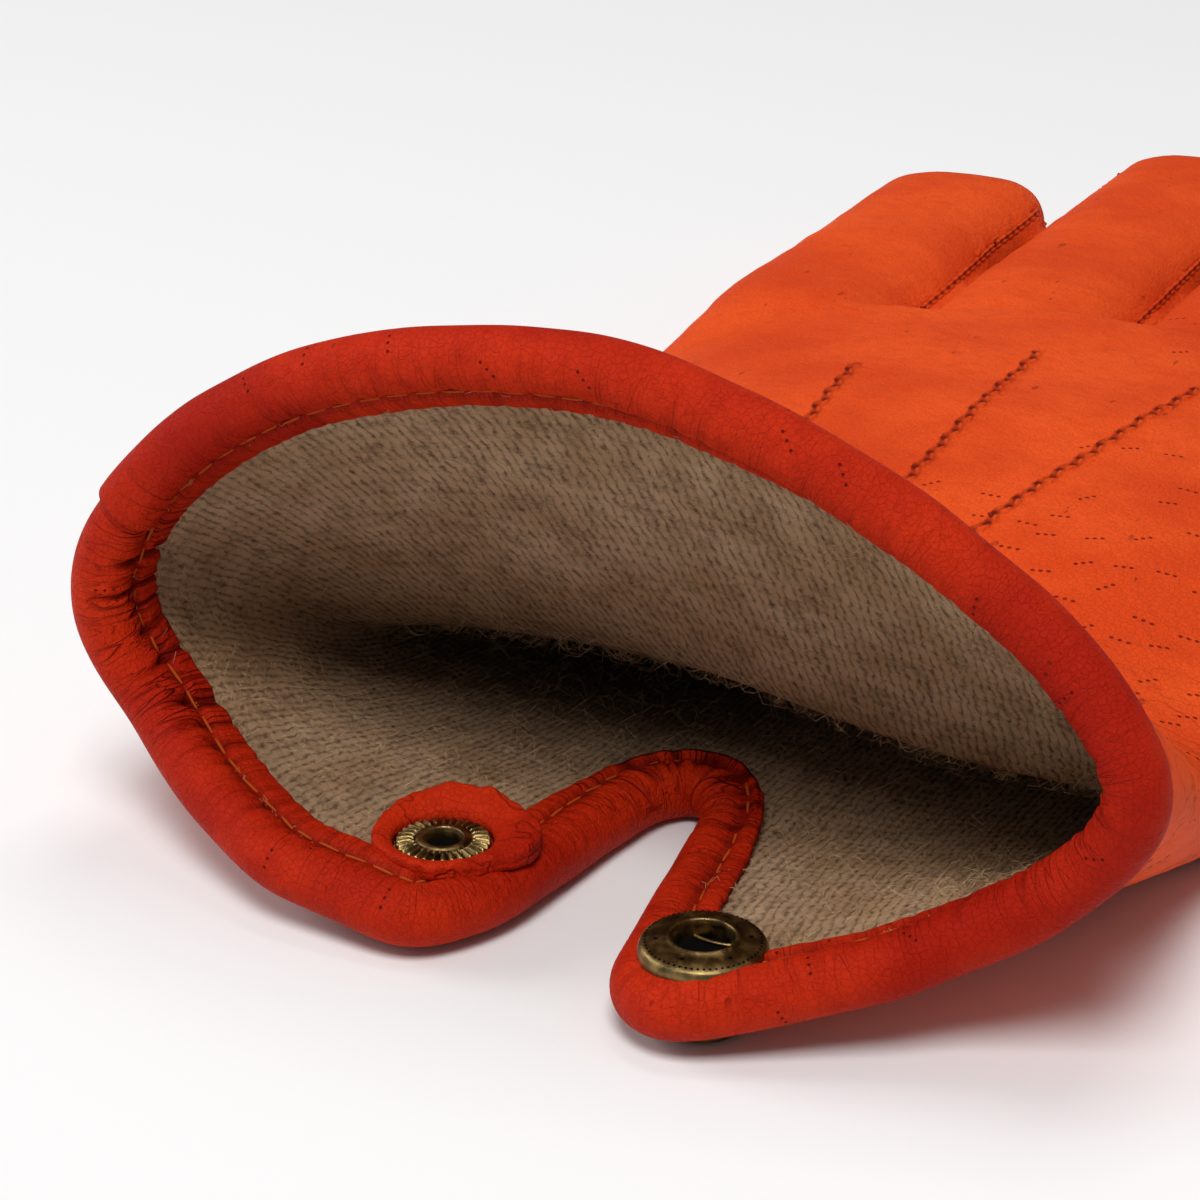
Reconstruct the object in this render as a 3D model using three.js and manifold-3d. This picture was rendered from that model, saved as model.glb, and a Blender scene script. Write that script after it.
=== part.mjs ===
// A lined leather dress glove for the left hand, lying palm down with its cuff pulled open.
// Millimetres. +Y runs from the cuff to the fingertips, +X to the thumb side and +Z up from the table.
import * as THREE from "three";
import { mergeVertices } from "three/addons/utils/BufferGeometryUtils.js";
import Module from "manifold-3d";

const wasm = await Module();
wasm.setup();

// Driving dimensions
const LEATHER = 1.2; // wall of the leather shell
const LINING = 1.5; // wall of the knitted lining
const GAP = 0.3; // between two pieces that are sewn or pressed together
const ROLL_RADIUS = 2.85; // the padded roll round the cuff's edge
const FLANGE = 0.7; // thickness of the roll's sewn-down flange inside the cuff
const FLANGE_REACH = 4.75; // from the roll's centre line to the flange's free edge, at the middle
const FLANGE_WIDENS = 0.012; // for each millimetre towards the little-finger side
const LINING_PRESSED = 1.2; // wall of the lining where the flange is sewn down on it
const LINING_END = 98; // the lining is built this deep, which is as far as the open cuff shows it
const MOUTH_AHEAD = 12; // how far a hollow runs out past the cuff's edge
const CENTRE = { x: 16.8, y: 119.1 }; // middle of the glove's outline, which becomes the origin

const AROUND = 28; // sides of a section of the hand
const FINGER_AROUND = 12;
const ROLL_SIDES = 8;
const ROUND = 14; // sides of a snap part

// Sections of the hand, from in front of the cuff's edge to the finger roots. left and right are its two
// sides and seamL and seamR their heights, crown and floor the highest and lowest leather, and open says
// how far the section has the mouth's shape and not the hand's.
const HAND = [
  { y: -16, left: -54.4, right: 51, seamL: 25, seamR: 29, crown: 64, floor: 1.9, open: 1 },
  { y: 0, left: -54.6, right: 51.2, seamL: 25, seamR: 29, crown: 63, floor: 1.9, open: 1 },
  { y: 8, left: -54.5, right: 51.2, seamL: 24.6, seamR: 28.2, crown: 61, floor: 1.8, open: 1 },
  { y: 15, left: -54.3, right: 51.2, seamL: 23.5, seamR: 26.5, crown: 55.6, floor: 1.7, open: 1 },
  { y: 25, left: -52.9, right: 50.2, seamL: 19, seamR: 21, crown: 41.5, floor: 0.9, open: 0.8 },
  { y: 35, left: -50.8, right: 48.8, seamL: 14, seamR: 15, crown: 28, floor: -0.2, open: 0.4 },
  { y: 45, left: -50.4, right: 48.4, seamL: 10.5, seamR: 11, crown: 20, floor: -0.6, open: 0.1 },
  { y: 58, left: -50.4, right: 49, seamL: 9, seamR: 9, crown: 18.6, floor: -0.8, open: 0 },
  { y: 80, left: -51.2, right: 50.4, seamL: 8.8, seamR: 8.8, crown: 20, floor: -0.8, open: 0 },
  { y: 105, left: -53, right: 50, seamL: 8.6, seamR: 8.6, crown: 19.4, floor: -0.8, open: 0 },
  { y: 130, left: -54.4, right: 49, seamL: 8.2, seamR: 8.2, crown: 18, floor: -0.8, open: 0 },
  { y: 156, left: -54.8, right: 48.8, seamL: 8, seamR: 8, crown: 16.8, floor: -0.8, open: 0 },
];
const PLANES = [19, 25, 31, 37, 43, 50, 61, 80, 105, 130, 156]; // where the hand's solids have a section

// The fullness of a section's quarters, as exponents across and up: 2 and 2 is an ellipse, more is boxier.
const QUARTERS = {
  backLittle: { mouth: { across: 1.86, up: 1.7 }, hand: { across: 2.5, up: 2.2 } },
  backThumb: { mouth: { across: 1.6, up: 1.45 }, hand: { across: 2.5, up: 2.2 } },
  palmLittle: { mouth: { across: 2.4, up: 2.1 }, hand: { across: 2.6, up: 2.8 } },
  palmThumb: { mouth: { across: 2.3, up: 1.6 }, hand: { across: 2.6, up: 2.8 } },
};

// How far back the cuff's edge lies, by the angle round the mouth: 0 at the little-finger seam, 90 at the
// crown, 180 at the thumb side and 270 at the vent.
const RIM = [
  { turn: 0, y: 10.5 },
  { turn: 45, y: 13 },
  { turn: 90, y: 15 },
  { turn: 135, y: 15 },
  { turn: 180, y: 11 },
  { turn: 208, y: 11.5 },
  { turn: 226, y: 9.5 },
  { turn: 240, y: 4.6 },
  { turn: 255, y: -0.8 },
  { turn: 270, y: -2.6 },
  { turn: 285, y: -0.6 },
  { turn: 309, y: 5.8 },
  { turn: 335, y: 11.2 },
  { turn: 360, y: 10.5 },
];
const LAP_TURN = 17; // where the roll's two ends meet, above the little-finger side
const LAP_GAP = 0.6; // half of what they are apart, in degrees round the mouth

// The edge of the open vent in the palm side, seen from above, from the thumb-side flap to the other one
const VENT = [
  { x: 14, y: -2.2 },
  { x: 10, y: 0 },
  { x: 8.2, y: 6 },
  { x: 5.6, y: 17 },
  { x: 3, y: 28 },
  { x: 1, y: 35 },
  { x: -3, y: 39 },
  { x: -7.2, y: 36 },
  { x: -9, y: 28 },
  { x: -9.8, y: 18 },
  { x: -10.9, y: 8.4 },
  { x: -14.4, y: 2 },
];
const FLAP_TURNS = { thumbSide: 250, littleSide: 294 }; // where the rim's own curve meets the vent's

// Where the hand ends between the fingers, across the knuckles
const CROTCHES = [
  { x: -60, y: 140 },
  { x: -28, y: 144 },
  { x: -2.6, y: 151 },
  { x: 23, y: 151 },
  { x: 60, y: 142 },
];

// A finger runs from (rootX, rootY) to (tipX, tipY). width and tall are its section's, at root and tip.
// From the little finger to the index finger:
const FINGERS = [
  { rootX: -41.4, rootY: 118, tipX: -44.4, tipY: 213, width: 26, tipWidth: 24.6, tall: 16.6, tipTall: 15 },
  { rootX: -15.3, rootY: 120, tipX: -17.6, tipY: 236, width: 25, tipWidth: 24, tall: 16.8, tipTall: 15 },
  { rootX: 10.3, rootY: 120, tipX: 9.4, tipY: 243, width: 25, tipWidth: 24, tall: 16.8, tipTall: 15 },
  { rootX: 36, rootY: 118, tipX: 36.8, tipY: 232, width: 25, tipWidth: 24, tall: 16.6, tipTall: 15 },
];
const ROOT_NARROWED = 0.84; // a finger's section where it starts, inside the hand
const FINGER_QUARTERS = { across: 3.4, up: 2.8 };
const THUMB = { rootX: 26, rootY: 50, tipX: 84, tipY: 137, width: 38, tipWidth: 26, tall: 17, tipTall: 15 };
const TIP_ROUND = 13; // length of a finger's rounded end
const FOURCHETTE = { low: 4, high: 12, behind: 7, beforeTip: 10, deep: 3.4 }; // strips between two fingers

// The three stitched ridges on the back, from the cuff end to the knuckle end
const POINTS = [
  { startX: -13, startY: 62, endX: -22.9, endY: 118 },
  { startX: 0.5, startY: 58, endX: -5.8, endY: 132.6 },
  { startX: 8.6, startY: 60, endX: 15, endY: 130 },
];
const POINT_RIDGE = { width: 1.8, tall: 0.9, steps: 7 };

// The snap fastener: the stud's half on the little-finger flap, the socket's half on the thumb-side flap
const STUD_AT = { x: -16.4, y: 11.4 };
const SOCKET_AT = { x: 14, y: 3.8 };
const SNAP = {
  cap: 5.2,
  capTall: 1.4,
  socket: 5.7,
  socketTall: 2.6,
  socketHole: 2.2,
  socketLift: 0.4,
  post: 1.3,
  eyelet: 4.45,
  eyeletHole: 1.6,
  eyeletTube: 2.1,
  stud: 4.6,
  studKnob: 2.6,
};
const TAB = { radius: 7, ringY: 0.8, lobe: 4.2, lobeX: 4.4, lobeY: 2.2, thick: 1.1, hole: 4.8 };

const colours = {
  leather: new THREE.MeshStandardMaterial({ color: 0xd8431a, roughness: 0.62, metalness: 0 }),
  binding: new THREE.MeshStandardMaterial({ color: 0xc9341a, roughness: 0.58, metalness: 0 }),
  wool: new THREE.MeshStandardMaterial({ color: 0x8f7c64, roughness: 0.97, metalness: 0 }),
  brass: new THREE.MeshStandardMaterial({ color: 0x6f5a31, roughness: 0.38, metalness: 1 }),
};

// The value of one named column at a place along a table, on a smooth curve with no overshoot.
function column(rows, key, name, at) {
  const last = rows.length - 1;
  if (at <= rows[0][key]) return rows[0][name];
  if (at >= rows[last][key]) return rows[last][name];
  const i = rows.findIndex((row) => row[key] > at) - 1;
  const slope = (k) => (rows[k + 1][name] - rows[k][name]) / (rows[k + 1][key] - rows[k][key]);
  const tangent = (k) => {
    if (k === 0 || k === last) return 0;
    const before = slope(k - 1);
    const after = slope(k);
    return before * after <= 0 ? 0 : (2 * before * after) / (before + after);
  };
  const span = rows[i + 1][key] - rows[i][key];
  const t = (at - rows[i][key]) / span;
  const rise = rows[i + 1][name] - rows[i][name];
  const a = tangent(i) * span;
  const b = tangent(i + 1) * span;
  return rows[i][name] + a * t + (3 * rise - 2 * a - b) * t * t + (a + b - 2 * rise) * t * t * t;
}

const power = (value, exponent) => Math.sign(value) * Math.abs(value) ** (2 / exponent);
const radians = (degrees) => (degrees * Math.PI) / 180;

// The corners of an upright rectangle, each [height, place].
const box = (top, bottom, front, back) => [[top, front], [top, back], [bottom, back], [bottom, front]];

// The fullness of the section at y on one side of the hand, on the back or on the palm.
function fullness(y, thumbSide, back) {
  const { mouth, hand } = QUARTERS[(back ? "back" : "palm") + (thumbSide ? "Thumb" : "Little")];
  const open = column(HAND, "y", "open", y);
  const blend = (name) => hand[name] + (mouth[name] - hand[name]) * open;
  return { across: blend("across"), up: blend("up") };
}

// A point of the hand's outer surface. turn is in degrees round the section, as in RIM.
function handSkin(turn, y) {
  const c = Object.fromEntries(Object.keys(HAND[0]).map((name) => [name, column(HAND, "y", name, y)]));
  const [cosine, sine] = [-Math.cos(radians(turn)), Math.sin(radians(turn))];
  const full = fullness(y, cosine > 0, sine > 0);
  const across = power(cosine, full.across);
  const x = (c.left + c.right) / 2 + ((c.right - c.left) / 2) * across;
  const seam = (c.seamL + c.seamR) / 2 + ((c.seamR - c.seamL) / 2) * across;
  const z = seam + (sine > 0 ? c.crown - seam : seam - c.floor) * power(sine, full.up);
  return new THREE.Vector3(x, y, Math.max(z, 0));
}

// The outward normal there, from two short steps over the surface.
function handNormal(turn, y) {
  const along = handSkin(turn, y + 0.5).sub(handSkin(turn, y - 0.5));
  const round = handSkin(turn + 1, y).sub(handSkin(turn - 1, y));
  return along.cross(round).normalize().negate();
}

// A point of a surface that lies inset under the outer one, never nearer the floor than that.
function handWall(turn, y, inset) {
  const point = handSkin(turn, y).addScaledVector(handNormal(turn, y), -inset);
  point.z = Math.max(point.z, inset);
  return point;
}

// A closed body through rings of points, with a fan of triangles over each end.
function loft(rings) {
  const sides = rings[0].length;
  const middle = (ring) => ring.reduce((sum, p) => sum.add(p), new THREE.Vector3()).divideScalar(sides);
  const points = [...rings.flat(), middle(rings[0]), middle(rings.at(-1))];
  const start = points.length - 2;
  const index = [];
  for (let i = 0; i < sides; i += 1) {
    const j = (i + 1) % sides;
    for (let ring = 0; ring < rings.length - 1; ring += 1) {
      const a = ring * sides + i;
      const b = ring * sides + j;
      index.push(a, b, a + sides, b, b + sides, a + sides);
    }
    const end = (rings.length - 1) * sides;
    index.push(start, j, i, start + 1, end + i, end + j);
  }
  return new THREE.BufferGeometry().setFromPoints(points).setIndex(index);
}

// Between three.js geometry and the solids that can be joined and cut.
function solid(geometry) {
  const bare = new THREE.BufferGeometry().setAttribute("position", geometry.getAttribute("position"));
  if (geometry.index) bare.setIndex(geometry.index);
  const merged = mergeVertices(bare, 1e-4);
  const vertProperties = new Float32Array(merged.attributes.position.array);
  const triVerts = new Uint32Array(merged.index.array);
  const made = new wasm.Manifold(new wasm.Mesh({ numProp: 3, vertProperties, triVerts }));
  if (made.volume() > 0) return made;
  triVerts.reverse();
  return new wasm.Manifold(new wasm.Mesh({ numProp: 3, vertProperties, triVerts }));
}

function geometryOf(manifold) {
  const mesh = manifold.getMesh();
  return new THREE.BufferGeometry()
    .setAttribute("position", new THREE.BufferAttribute(mesh.vertProperties, 3))
    .setIndex(new THREE.BufferAttribute(mesh.triVerts, 1));
}

// The largest of a solid's separate bodies, so that a shaving left by a cut is dropped.
const largest = (manifold) => manifold.decompose().sort((a, b) => b.volume() - a.volume())[0];
const cut = (from, ...tools) => tools.reduce((rest, tool) => rest.subtract(tool), from);
const join = (...solids) => solids.reduce((sum, next) => sum.add(next));

// The hand as one solid, inset under the leather, from ahead of the cuff's edge to the plane at endY.
function handSolid(inset, ahead, endY) {
  const ring = (yAt) =>
    Array.from({ length: AROUND }, (_, i) => {
      const turn = (360 * i) / AROUND;
      return handWall(turn, yAt(turn), inset);
    });
  const rings = [...PLANES.filter((y) => y < endY), endY].map((y) => ring(() => y));
  rings.unshift(ring(rimY));
  if (ahead > 0) rings.unshift(ring((turn) => rimY(turn) - ahead));
  return solid(loft(rings));
}

const rimY = (turn) => column(RIM, "turn", "y", turn % 360);

// Everything beyond the line across the knuckles, moved towards the cuff by nearer.
function beyondKnuckles(nearer) {
  const line = CROTCHES.map(({ x, y }) => new THREE.Vector2(x, y - nearer));
  const outline = new THREE.Shape([...line, new THREE.Vector2(60, 200), new THREE.Vector2(-60, 200)]);
  const block = new THREE.ExtrudeGeometry(outline, { depth: 60, bevelEnabled: false });
  return solid(block.translate(0, 0, -20));
}

// A finger or the thumb: rings square to its own line, rounded off over the last TIP_ROUND.
function fingerSolid(f, inset) {
  const line = new THREE.Vector2(f.tipX - f.rootX, f.tipY - f.rootY);
  const length = line.length();
  const ahead = line.clone().normalize();
  const shares = [0, 0.3, 0.65].map((share) => (length - TIP_ROUND) * share);
  const rounded = [0, 0.5, 0.84, 1].map((share) => length - TIP_ROUND + (TIP_ROUND - inset) * share);
  const rings = [...shares, ...rounded].map((at) => {
    const share = at / length;
    const over = THREE.MathUtils.clamp((at - length + TIP_ROUND) / (TIP_ROUND - inset), 0, 1);
    const root = at === 0 ? ROOT_NARROWED : 1;
    const narrowed = Math.max(Math.sqrt(1 - over * over), 0.2) * root;
    const lowered = Math.max((1 - over * over) ** 0.25, 0.5) * root;
    const half = Math.max(((f.width + (f.tipWidth - f.width) * share) / 2 - inset) * narrowed, 0.8);
    const tall = (f.tall + (f.tipTall - f.tall) * share) * lowered;
    return Array.from({ length: FINGER_AROUND }, (_, i) => {
      const angle = (2 * Math.PI * i) / FINGER_AROUND;
      const across = -power(Math.cos(angle), FINGER_QUARTERS.across) * half;
      const z = tall / 2 - 0.3 + power(Math.sin(angle), FINGER_QUARTERS.up) * (tall / 2 + 0.3 - inset);
      const x = f.rootX + ahead.x * at + ahead.y * across;
      const y = f.rootY + ahead.y * at - ahead.x * across;
      return new THREE.Vector3(x, y, Math.max(z, inset));
    });
  });
  return solid(loft(rings));
}

// Where the middle of the roll lies under the leather's surface: in the middle of what it binds.
const ROLL_INSET = (LEATHER + GAP + LINING) / 2;

// A station of the roll's line: its point and the outward normal there.
function rollStation(turn, y) {
  const point = handWall(turn, y, ROLL_INSET);
  point.z = Math.max(point.z, ROLL_RADIUS);
  return { point, out: handNormal(turn, y) };
}

// The line of the roll's centre: round the mouth from its lap, and in and out of the vent.
function rollLine() {
  const { thumbSide, littleSide } = FLAP_TURNS;
  const turns = [];
  for (let turn = LAP_TURN + LAP_GAP; turn < thumbSide - 4; turn += 7) turns.push([turn, rimY(turn)]);
  for (const { x, y } of VENT) turns.push([turnUnder(x, y), y]);
  for (let turn = littleSide + 3; turn < 360 + LAP_TURN - 3; turn += 6.5) turns.push([turn, rimY(turn)]);
  turns.push([360 + LAP_TURN - LAP_GAP, rimY(LAP_TURN)]);
  return turns.map(([turn, y]) => rollStation(turn, y));
}

// The short line that bridges the roll's two ends.
const lapLine = () => [-3, 0, 3].map((turn) => rollStation(LAP_TURN + turn * LAP_GAP, rimY(LAP_TURN)));

// The turn at which the palm side of the section at y has this x.
function turnUnder(x, y) {
  const left = column(HAND, "y", "left", y);
  const right = column(HAND, "y", "right", y);
  const across = (2 * x - left - right) / (right - left);
  const exponent = fullness(y, across > 0, false).across;
  const cosine = Math.sign(across) * Math.abs(across) ** (exponent / 2);
  return 180 + THREE.MathUtils.radToDeg(Math.acos(cosine));
}

// A section swept along such a line. Its points are [outward, towards the mouth] from the roll's centre.
function sweep(stations, section) {
  const curve = new THREE.CatmullRomCurve3(stations.map((s) => s.point), false, "centripetal");
  return solid(loft(stations.map((station, i) => {
    const t = i / (stations.length - 1);
    const ahead = curve.getTangent(t);
    const out = station.out.clone().addScaledVector(ahead, -station.out.dot(ahead)).normalize();
    const away = new THREE.Vector3().crossVectors(ahead, out);
    const room = bendRadius(curve, t, away);
    return section(station.point, room).map(([n, v]) =>
      station.point.clone().addScaledVector(out, n).addScaledVector(away, v));
  })));
}

// How tightly a curve bends round a centre on the far side from away.
function bendRadius(curve, t, away) {
  const step = 0.006;
  const before = curve.getTangent(Math.max(t - step, 0));
  const after = curve.getTangent(Math.min(t + step, 1));
  const turning = after.clone().sub(before);
  if (turning.dot(away) > -1e-3) return Infinity;
  const length = curve.getPoint(Math.max(t - step, 0)).distanceTo(curve.getPoint(Math.min(t + step, 1)));
  return length / turning.length();
}

function rollSection() {
  return Array.from({ length: ROLL_SIDES }, (_, i) => {
    const angle = (2 * Math.PI * (i + 0.5)) / ROLL_SIDES;
    return [ROLL_RADIUS * Math.sin(angle), ROLL_RADIUS * Math.cos(angle)];
  });
}

// The flange runs back from inside the roll, and is narrower where the line bends round it.
const flangeTopAt = ROLL_INSET - LEATHER - GAP - LINING_PRESSED - 1.5 * GAP;
const flangeEdge = (middle, room) => -Math.min(FLANGE_REACH - FLANGE_WIDENS * middle.x, room * 0.75);
const flangeSection = (middle, room) =>
  box(flangeTopAt, flangeTopAt - FLANGE, -1, Math.min(flangeEdge(middle, room), -ROLL_RADIUS));
const flangeRoomSection = (middle, room) =>
  box(
    flangeTopAt + 1.5 * GAP,
    flangeTopAt - 9,
    0,
    Math.min(flangeEdge(middle, room), -ROLL_RADIUS) - 2 * GAP,
  );

function rollRoomSection() {
  const half = ROLL_RADIUS + 1.3 * GAP;
  return box(half, -half, half, -half);
}

// Everything over the open vent, as a straight-sided block up to just above the palm side.
function ventSolid() {
  const points = VENT.map(({ x, y }) => new THREE.Vector3(x, y, 0));
  const curve = new THREE.CatmullRomCurve3(points, false, "centripetal");
  const edge = curve.getPoints(26).map((p) => new THREE.Vector2(p.x, p.y));
  const front = [new THREE.Vector2(VENT.at(-1).x, -30), new THREE.Vector2(VENT[0].x, -30)];
  const outline = new THREE.Shape([...edge, ...front]);
  const block = new THREE.ExtrudeGeometry(outline, { depth: 20, bevelEnabled: false });
  return solid(block.translate(0, 0, -6));
}

// A sheet as thick as the gap along the seam of the little-finger side, from the cuff round the fingertip.
function sideSeam() {
  const little = FINGERS[0];
  const inner = (y) => (y > little.tipY - TIP_ROUND ? little.tipX + 2 : -44);
  const places = [-8, ...HAND.slice(1).map((row) => row.y), little.tipY - 6, little.tipY + 4];
  const rings = places.map((y) => {
    const z = column(HAND, "y", "seamL", y);
    const corners = box(z + GAP / 2, z - GAP / 2, -64, inner(y));
    return corners.map(([height, x]) => new THREE.Vector3(x, y, height));
  });
  return solid(loft(rings));
}

// The block that holds the strips between two fingers, and reaches a little way into the sides of both.
function fourchetteBlock(a, b, grow) {
  const { low, high, behind, beforeTip, deep } = FOURCHETTE;
  const crotch = column(CROTCHES, "x", "y", (a.rootX + b.rootX) / 2);
  const near = crotch - behind - grow;
  const sideOf = (f, side, y) => {
    const share = (y - f.rootY) / (f.tipY - f.rootY);
    const half = (f.width + (f.tipWidth - f.width) * share) / 2;
    return f.rootX + (f.tipX - f.rootX) * share + side * (half - deep - grow);
  };
  const farA = a.tipY - beforeTip + grow;
  const farB = b.tipY - beforeTip + grow;
  const between = (a.tipX + a.tipWidth / 2 + b.tipX - b.tipWidth / 2) / 2;
  const shape = new THREE.Shape([
    new THREE.Vector2(sideOf(a, 1, near), near),
    new THREE.Vector2(sideOf(b, -1, near), near),
    new THREE.Vector2(sideOf(b, -1, farB), farB),
    new THREE.Vector2(between, farB),
    new THREE.Vector2(between, farA),
    new THREE.Vector2(sideOf(a, 1, farA), farA),
  ]);
  const block = new THREE.ExtrudeGeometry(shape, { depth: high - low + 2 * grow, bevelEnabled: false });
  return solid(block.translate(0, 0, low - grow));
}

// One stitched ridge, sunk a little into the back so that the two become one.
function pointRidge({ startX, startY, endX, endY }) {
  const { width, tall, steps } = POINT_RIDGE;
  const rings = [];
  for (let step = 0; step <= steps; step += 1) {
    const share = step / steps;
    const x = startX + (endX - startX) * share;
    const y = startY + (endY - startY) * share;
    const top = heightOver(x, y);
    const rise = tall * Math.sin(Math.PI * Math.min(Math.max(share, 0.06), 0.94)) ** 0.3;
    const section = [[-width / 2, -0.5], [width / 2, -0.5], [width / 4, rise], [-width / 4, rise]];
    rings.push(section.map(([across, z]) => new THREE.Vector3(x + across, y, top + z)));
  }
  return solid(loft(rings));
}

// The height of the back's surface over a place.
function heightOver(x, y) {
  const left = column(HAND, "y", "left", y);
  const right = column(HAND, "y", "right", y);
  const across = (2 * x - left - right) / (right - left);
  const exponent = fullness(y, across > 0, true).across;
  const cosine = Math.sign(across) * Math.abs(across) ** (exponent / 2);
  return handSkin(180 - THREE.MathUtils.radToDeg(Math.acos(cosine)), y).z;
}

// A snap part, turned about its own axis from a profile of [radius, height].
function turned(profile, at) {
  const lathe = new THREE.LatheGeometry(profile.map(([r, z]) => new THREE.Vector2(r, z)), ROUND);
  return solid(lathe.rotateX(Math.PI / 2).translate(at.x, at.y, 0));
}

const rod = (at, radius, low, high) => turned([[0, low], [radius, low], [radius, high], [0, high]], at);

// Heights at the two flaps, from the floor up through leather, lining and flange
const flapFloor = handSkin(270, 9).z;
const flangeTop = flapFloor + LEATHER + GAP + LINING_PRESSED + 1.5 * GAP + FLANGE;
const socketFoot = flangeTop + GAP + SNAP.socketLift;

const capProfile = [
  [0, 0],
  [SNAP.cap - 1.6, 0.2],
  [SNAP.cap, 0.9],
  [SNAP.cap - 0.3, SNAP.capTall],
  [SNAP.post, SNAP.capTall],
  [SNAP.post, socketFoot + 1.2],
  [0, socketFoot + 1.2],
];
const socketProfile = [
  [SNAP.socketHole + 0.3, socketFoot],
  [SNAP.socket - 0.4, socketFoot],
  [SNAP.socket, socketFoot + 0.6],
  [SNAP.socket, socketFoot + 1.6],
  [SNAP.socket - 0.9, socketFoot + SNAP.socketTall - 0.2],
  [SNAP.socketHole + 1.2, socketFoot + SNAP.socketTall - 0.4],
  [SNAP.socketHole + 0.5, socketFoot + SNAP.socketTall],
  [SNAP.socketHole, socketFoot + SNAP.socketTall - 0.3],
  [SNAP.socketHole, socketFoot + 0.3],
  [SNAP.socketHole + 0.3, socketFoot],
];
const eyeletFoot = flangeTop + GAP;
const studTop = flapFloor - GAP;
const eyeletProfile = [
  [SNAP.eyeletHole, studTop + GAP],
  [SNAP.eyeletTube, studTop + GAP],
  [SNAP.eyeletTube, eyeletFoot],
  [SNAP.eyelet, eyeletFoot],
  [SNAP.eyelet, eyeletFoot + 0.5],
  [SNAP.eyeletTube + 0.6, eyeletFoot + 0.8],
  [SNAP.eyeletTube, eyeletFoot + 1.1],
  [SNAP.eyeletHole, eyeletFoot + 0.7],
  [SNAP.eyeletHole, studTop + GAP],
];
const studProfile = [
  [0, 0],
  [SNAP.studKnob - 0.5, 0],
  [SNAP.studKnob, 0.4],
  [SNAP.studKnob - 0.2, studTop - 0.6],
  [SNAP.stud, studTop - 0.5],
  [SNAP.stud, studTop],
  [0, studTop],
];

// The leather patch round the eyelet: a disc with a smaller one beside it.
function tabSolid(grow) {
  const low = flangeTop + GAP - grow;
  const high = flangeTop + GAP + TAB.thick + grow;
  const ringAt = { x: STUD_AT.x, y: STUD_AT.y + TAB.ringY };
  const lobeAt = { x: STUD_AT.x + TAB.lobeX, y: STUD_AT.y + TAB.lobeY };
  const discs = join(rod(ringAt, TAB.radius + grow, low, high), rod(lobeAt, TAB.lobe + grow, low, high));
  return grow > 0 ? discs : cut(discs, rod(STUD_AT, TAB.hole, low - 1, high + 1));
}

function build() {
  const handEnd = PLANES.at(-1);
  const outer = join(
    cut(handSolid(0, 0, handEnd), beyondKnuckles(0)),
    ...FINGERS.map((f) => fingerSolid(f, 0)),
    ...POINTS.map(pointRidge),
  );
  const hollow = join(
    cut(handSolid(LEATHER, MOUTH_AHEAD, handEnd), beyondKnuckles(LEATHER)),
    ...FINGERS.map((f) => fingerSolid(f, LEATHER)),
  );
  const thumbHollow = fingerSolid(THUMB, LEATHER);
  const vent = ventSolid();
  const roll = rollLine();
  const bindingRoom = join(sweep(roll, rollRoomSection), sweep(lapLine(), rollRoomSection));
  const flangeRoom = join(sweep(roll, flangeRoomSection), sweep(lapLine(), flangeRoomSection));
  const postRoom = rod(SOCKET_AT, SNAP.post + GAP, -1, 30);
  const socketRoom = rod(SOCKET_AT, SNAP.socket + GAP, socketFoot - GAP, 30);
  const tubeRoom = rod(STUD_AT, SNAP.eyeletTube + GAP, -1, 30);
  const tabRoom = tabSolid(GAP);
  const studRoom = rod(STUD_AT, SNAP.stud + GAP, -1, studTop + GAP);
  const capRoom = rod(SOCKET_AT, SNAP.cap + GAP, -1, SNAP.capTall + GAP);
  const snapRooms = [postRoom, tubeRoom, socketRoom, tabRoom, studRoom, capRoom];

  const shell = cut(outer, hollow, vent, bindingRoom, thumbHollow, ...snapRooms);
  const neighbours = FINGERS.slice(1).map((f, i) => [FINGERS[i], f]);
  const [littleRing, ringMiddle, middleIndex] = neighbours.map(([a, b]) => fourchetteBlock(a, b, 0));
  const rooms = neighbours.map(([a, b]) => fourchetteBlock(a, b, GAP));
  const handRoom = cut(handSolid(-GAP, MOUTH_AHEAD, handEnd), beyondKnuckles(-GAP));
  const binding = cut(join(sweep(roll, rollSection), sweep(roll, flangeSection)), ...snapRooms);
  const shift = GAP / 2;
  const shifts = [[shift, 0, 0], [-shift, 0, 0], [0, 0, shift], [0, 0, -shift]];
  const lining = cut(
    handSolid(LEATHER + GAP, 0, LINING_END),
    handSolid(LEATHER + GAP + LINING, MOUTH_AHEAD, LINING_END + 6),
    vent,
    bindingRoom,
    flangeRoom,
    fingerSolid(THUMB, LEATHER + GAP + LINING),
    ...snapRooms,
    ...shifts.map((by) => binding.translate(by)),
  );

  return {
    trank: [cut(shell, ...rooms, sideSeam()), colours.leather],
    fourchette_little_ring: [shell.intersect(littleRing), colours.leather],
    fourchette_ring_middle: [shell.intersect(ringMiddle), colours.leather],
    fourchette_middle_index: [shell.intersect(middleIndex), colours.leather],
    thumb: [cut(fingerSolid(THUMB, 0), thumbHollow, handRoom), colours.leather],
    cuff_binding: [binding, colours.binding],
    lining: [lining, colours.wool],
    snap_tab: [tabSolid(0), colours.binding],
    snap_eyelet: [turned(eyeletProfile, STUD_AT), colours.brass],
    snap_stud: [turned(studProfile, STUD_AT), colours.brass],
    snap_socket: [turned(socketProfile, SOCKET_AT), colours.brass],
    snap_cap: [turned(capProfile, SOCKET_AT), colours.brass],
  };
}

const glove = new THREE.Group();
for (const [name, [shape, material]] of Object.entries(build())) {
  const piece = new THREE.Mesh(geometryOf(largest(shape)), material);
  piece.name = name;
  piece.position.set(-CENTRE.x, -CENTRE.y, 0);
  glove.add(piece);
}

export default glove;
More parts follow.
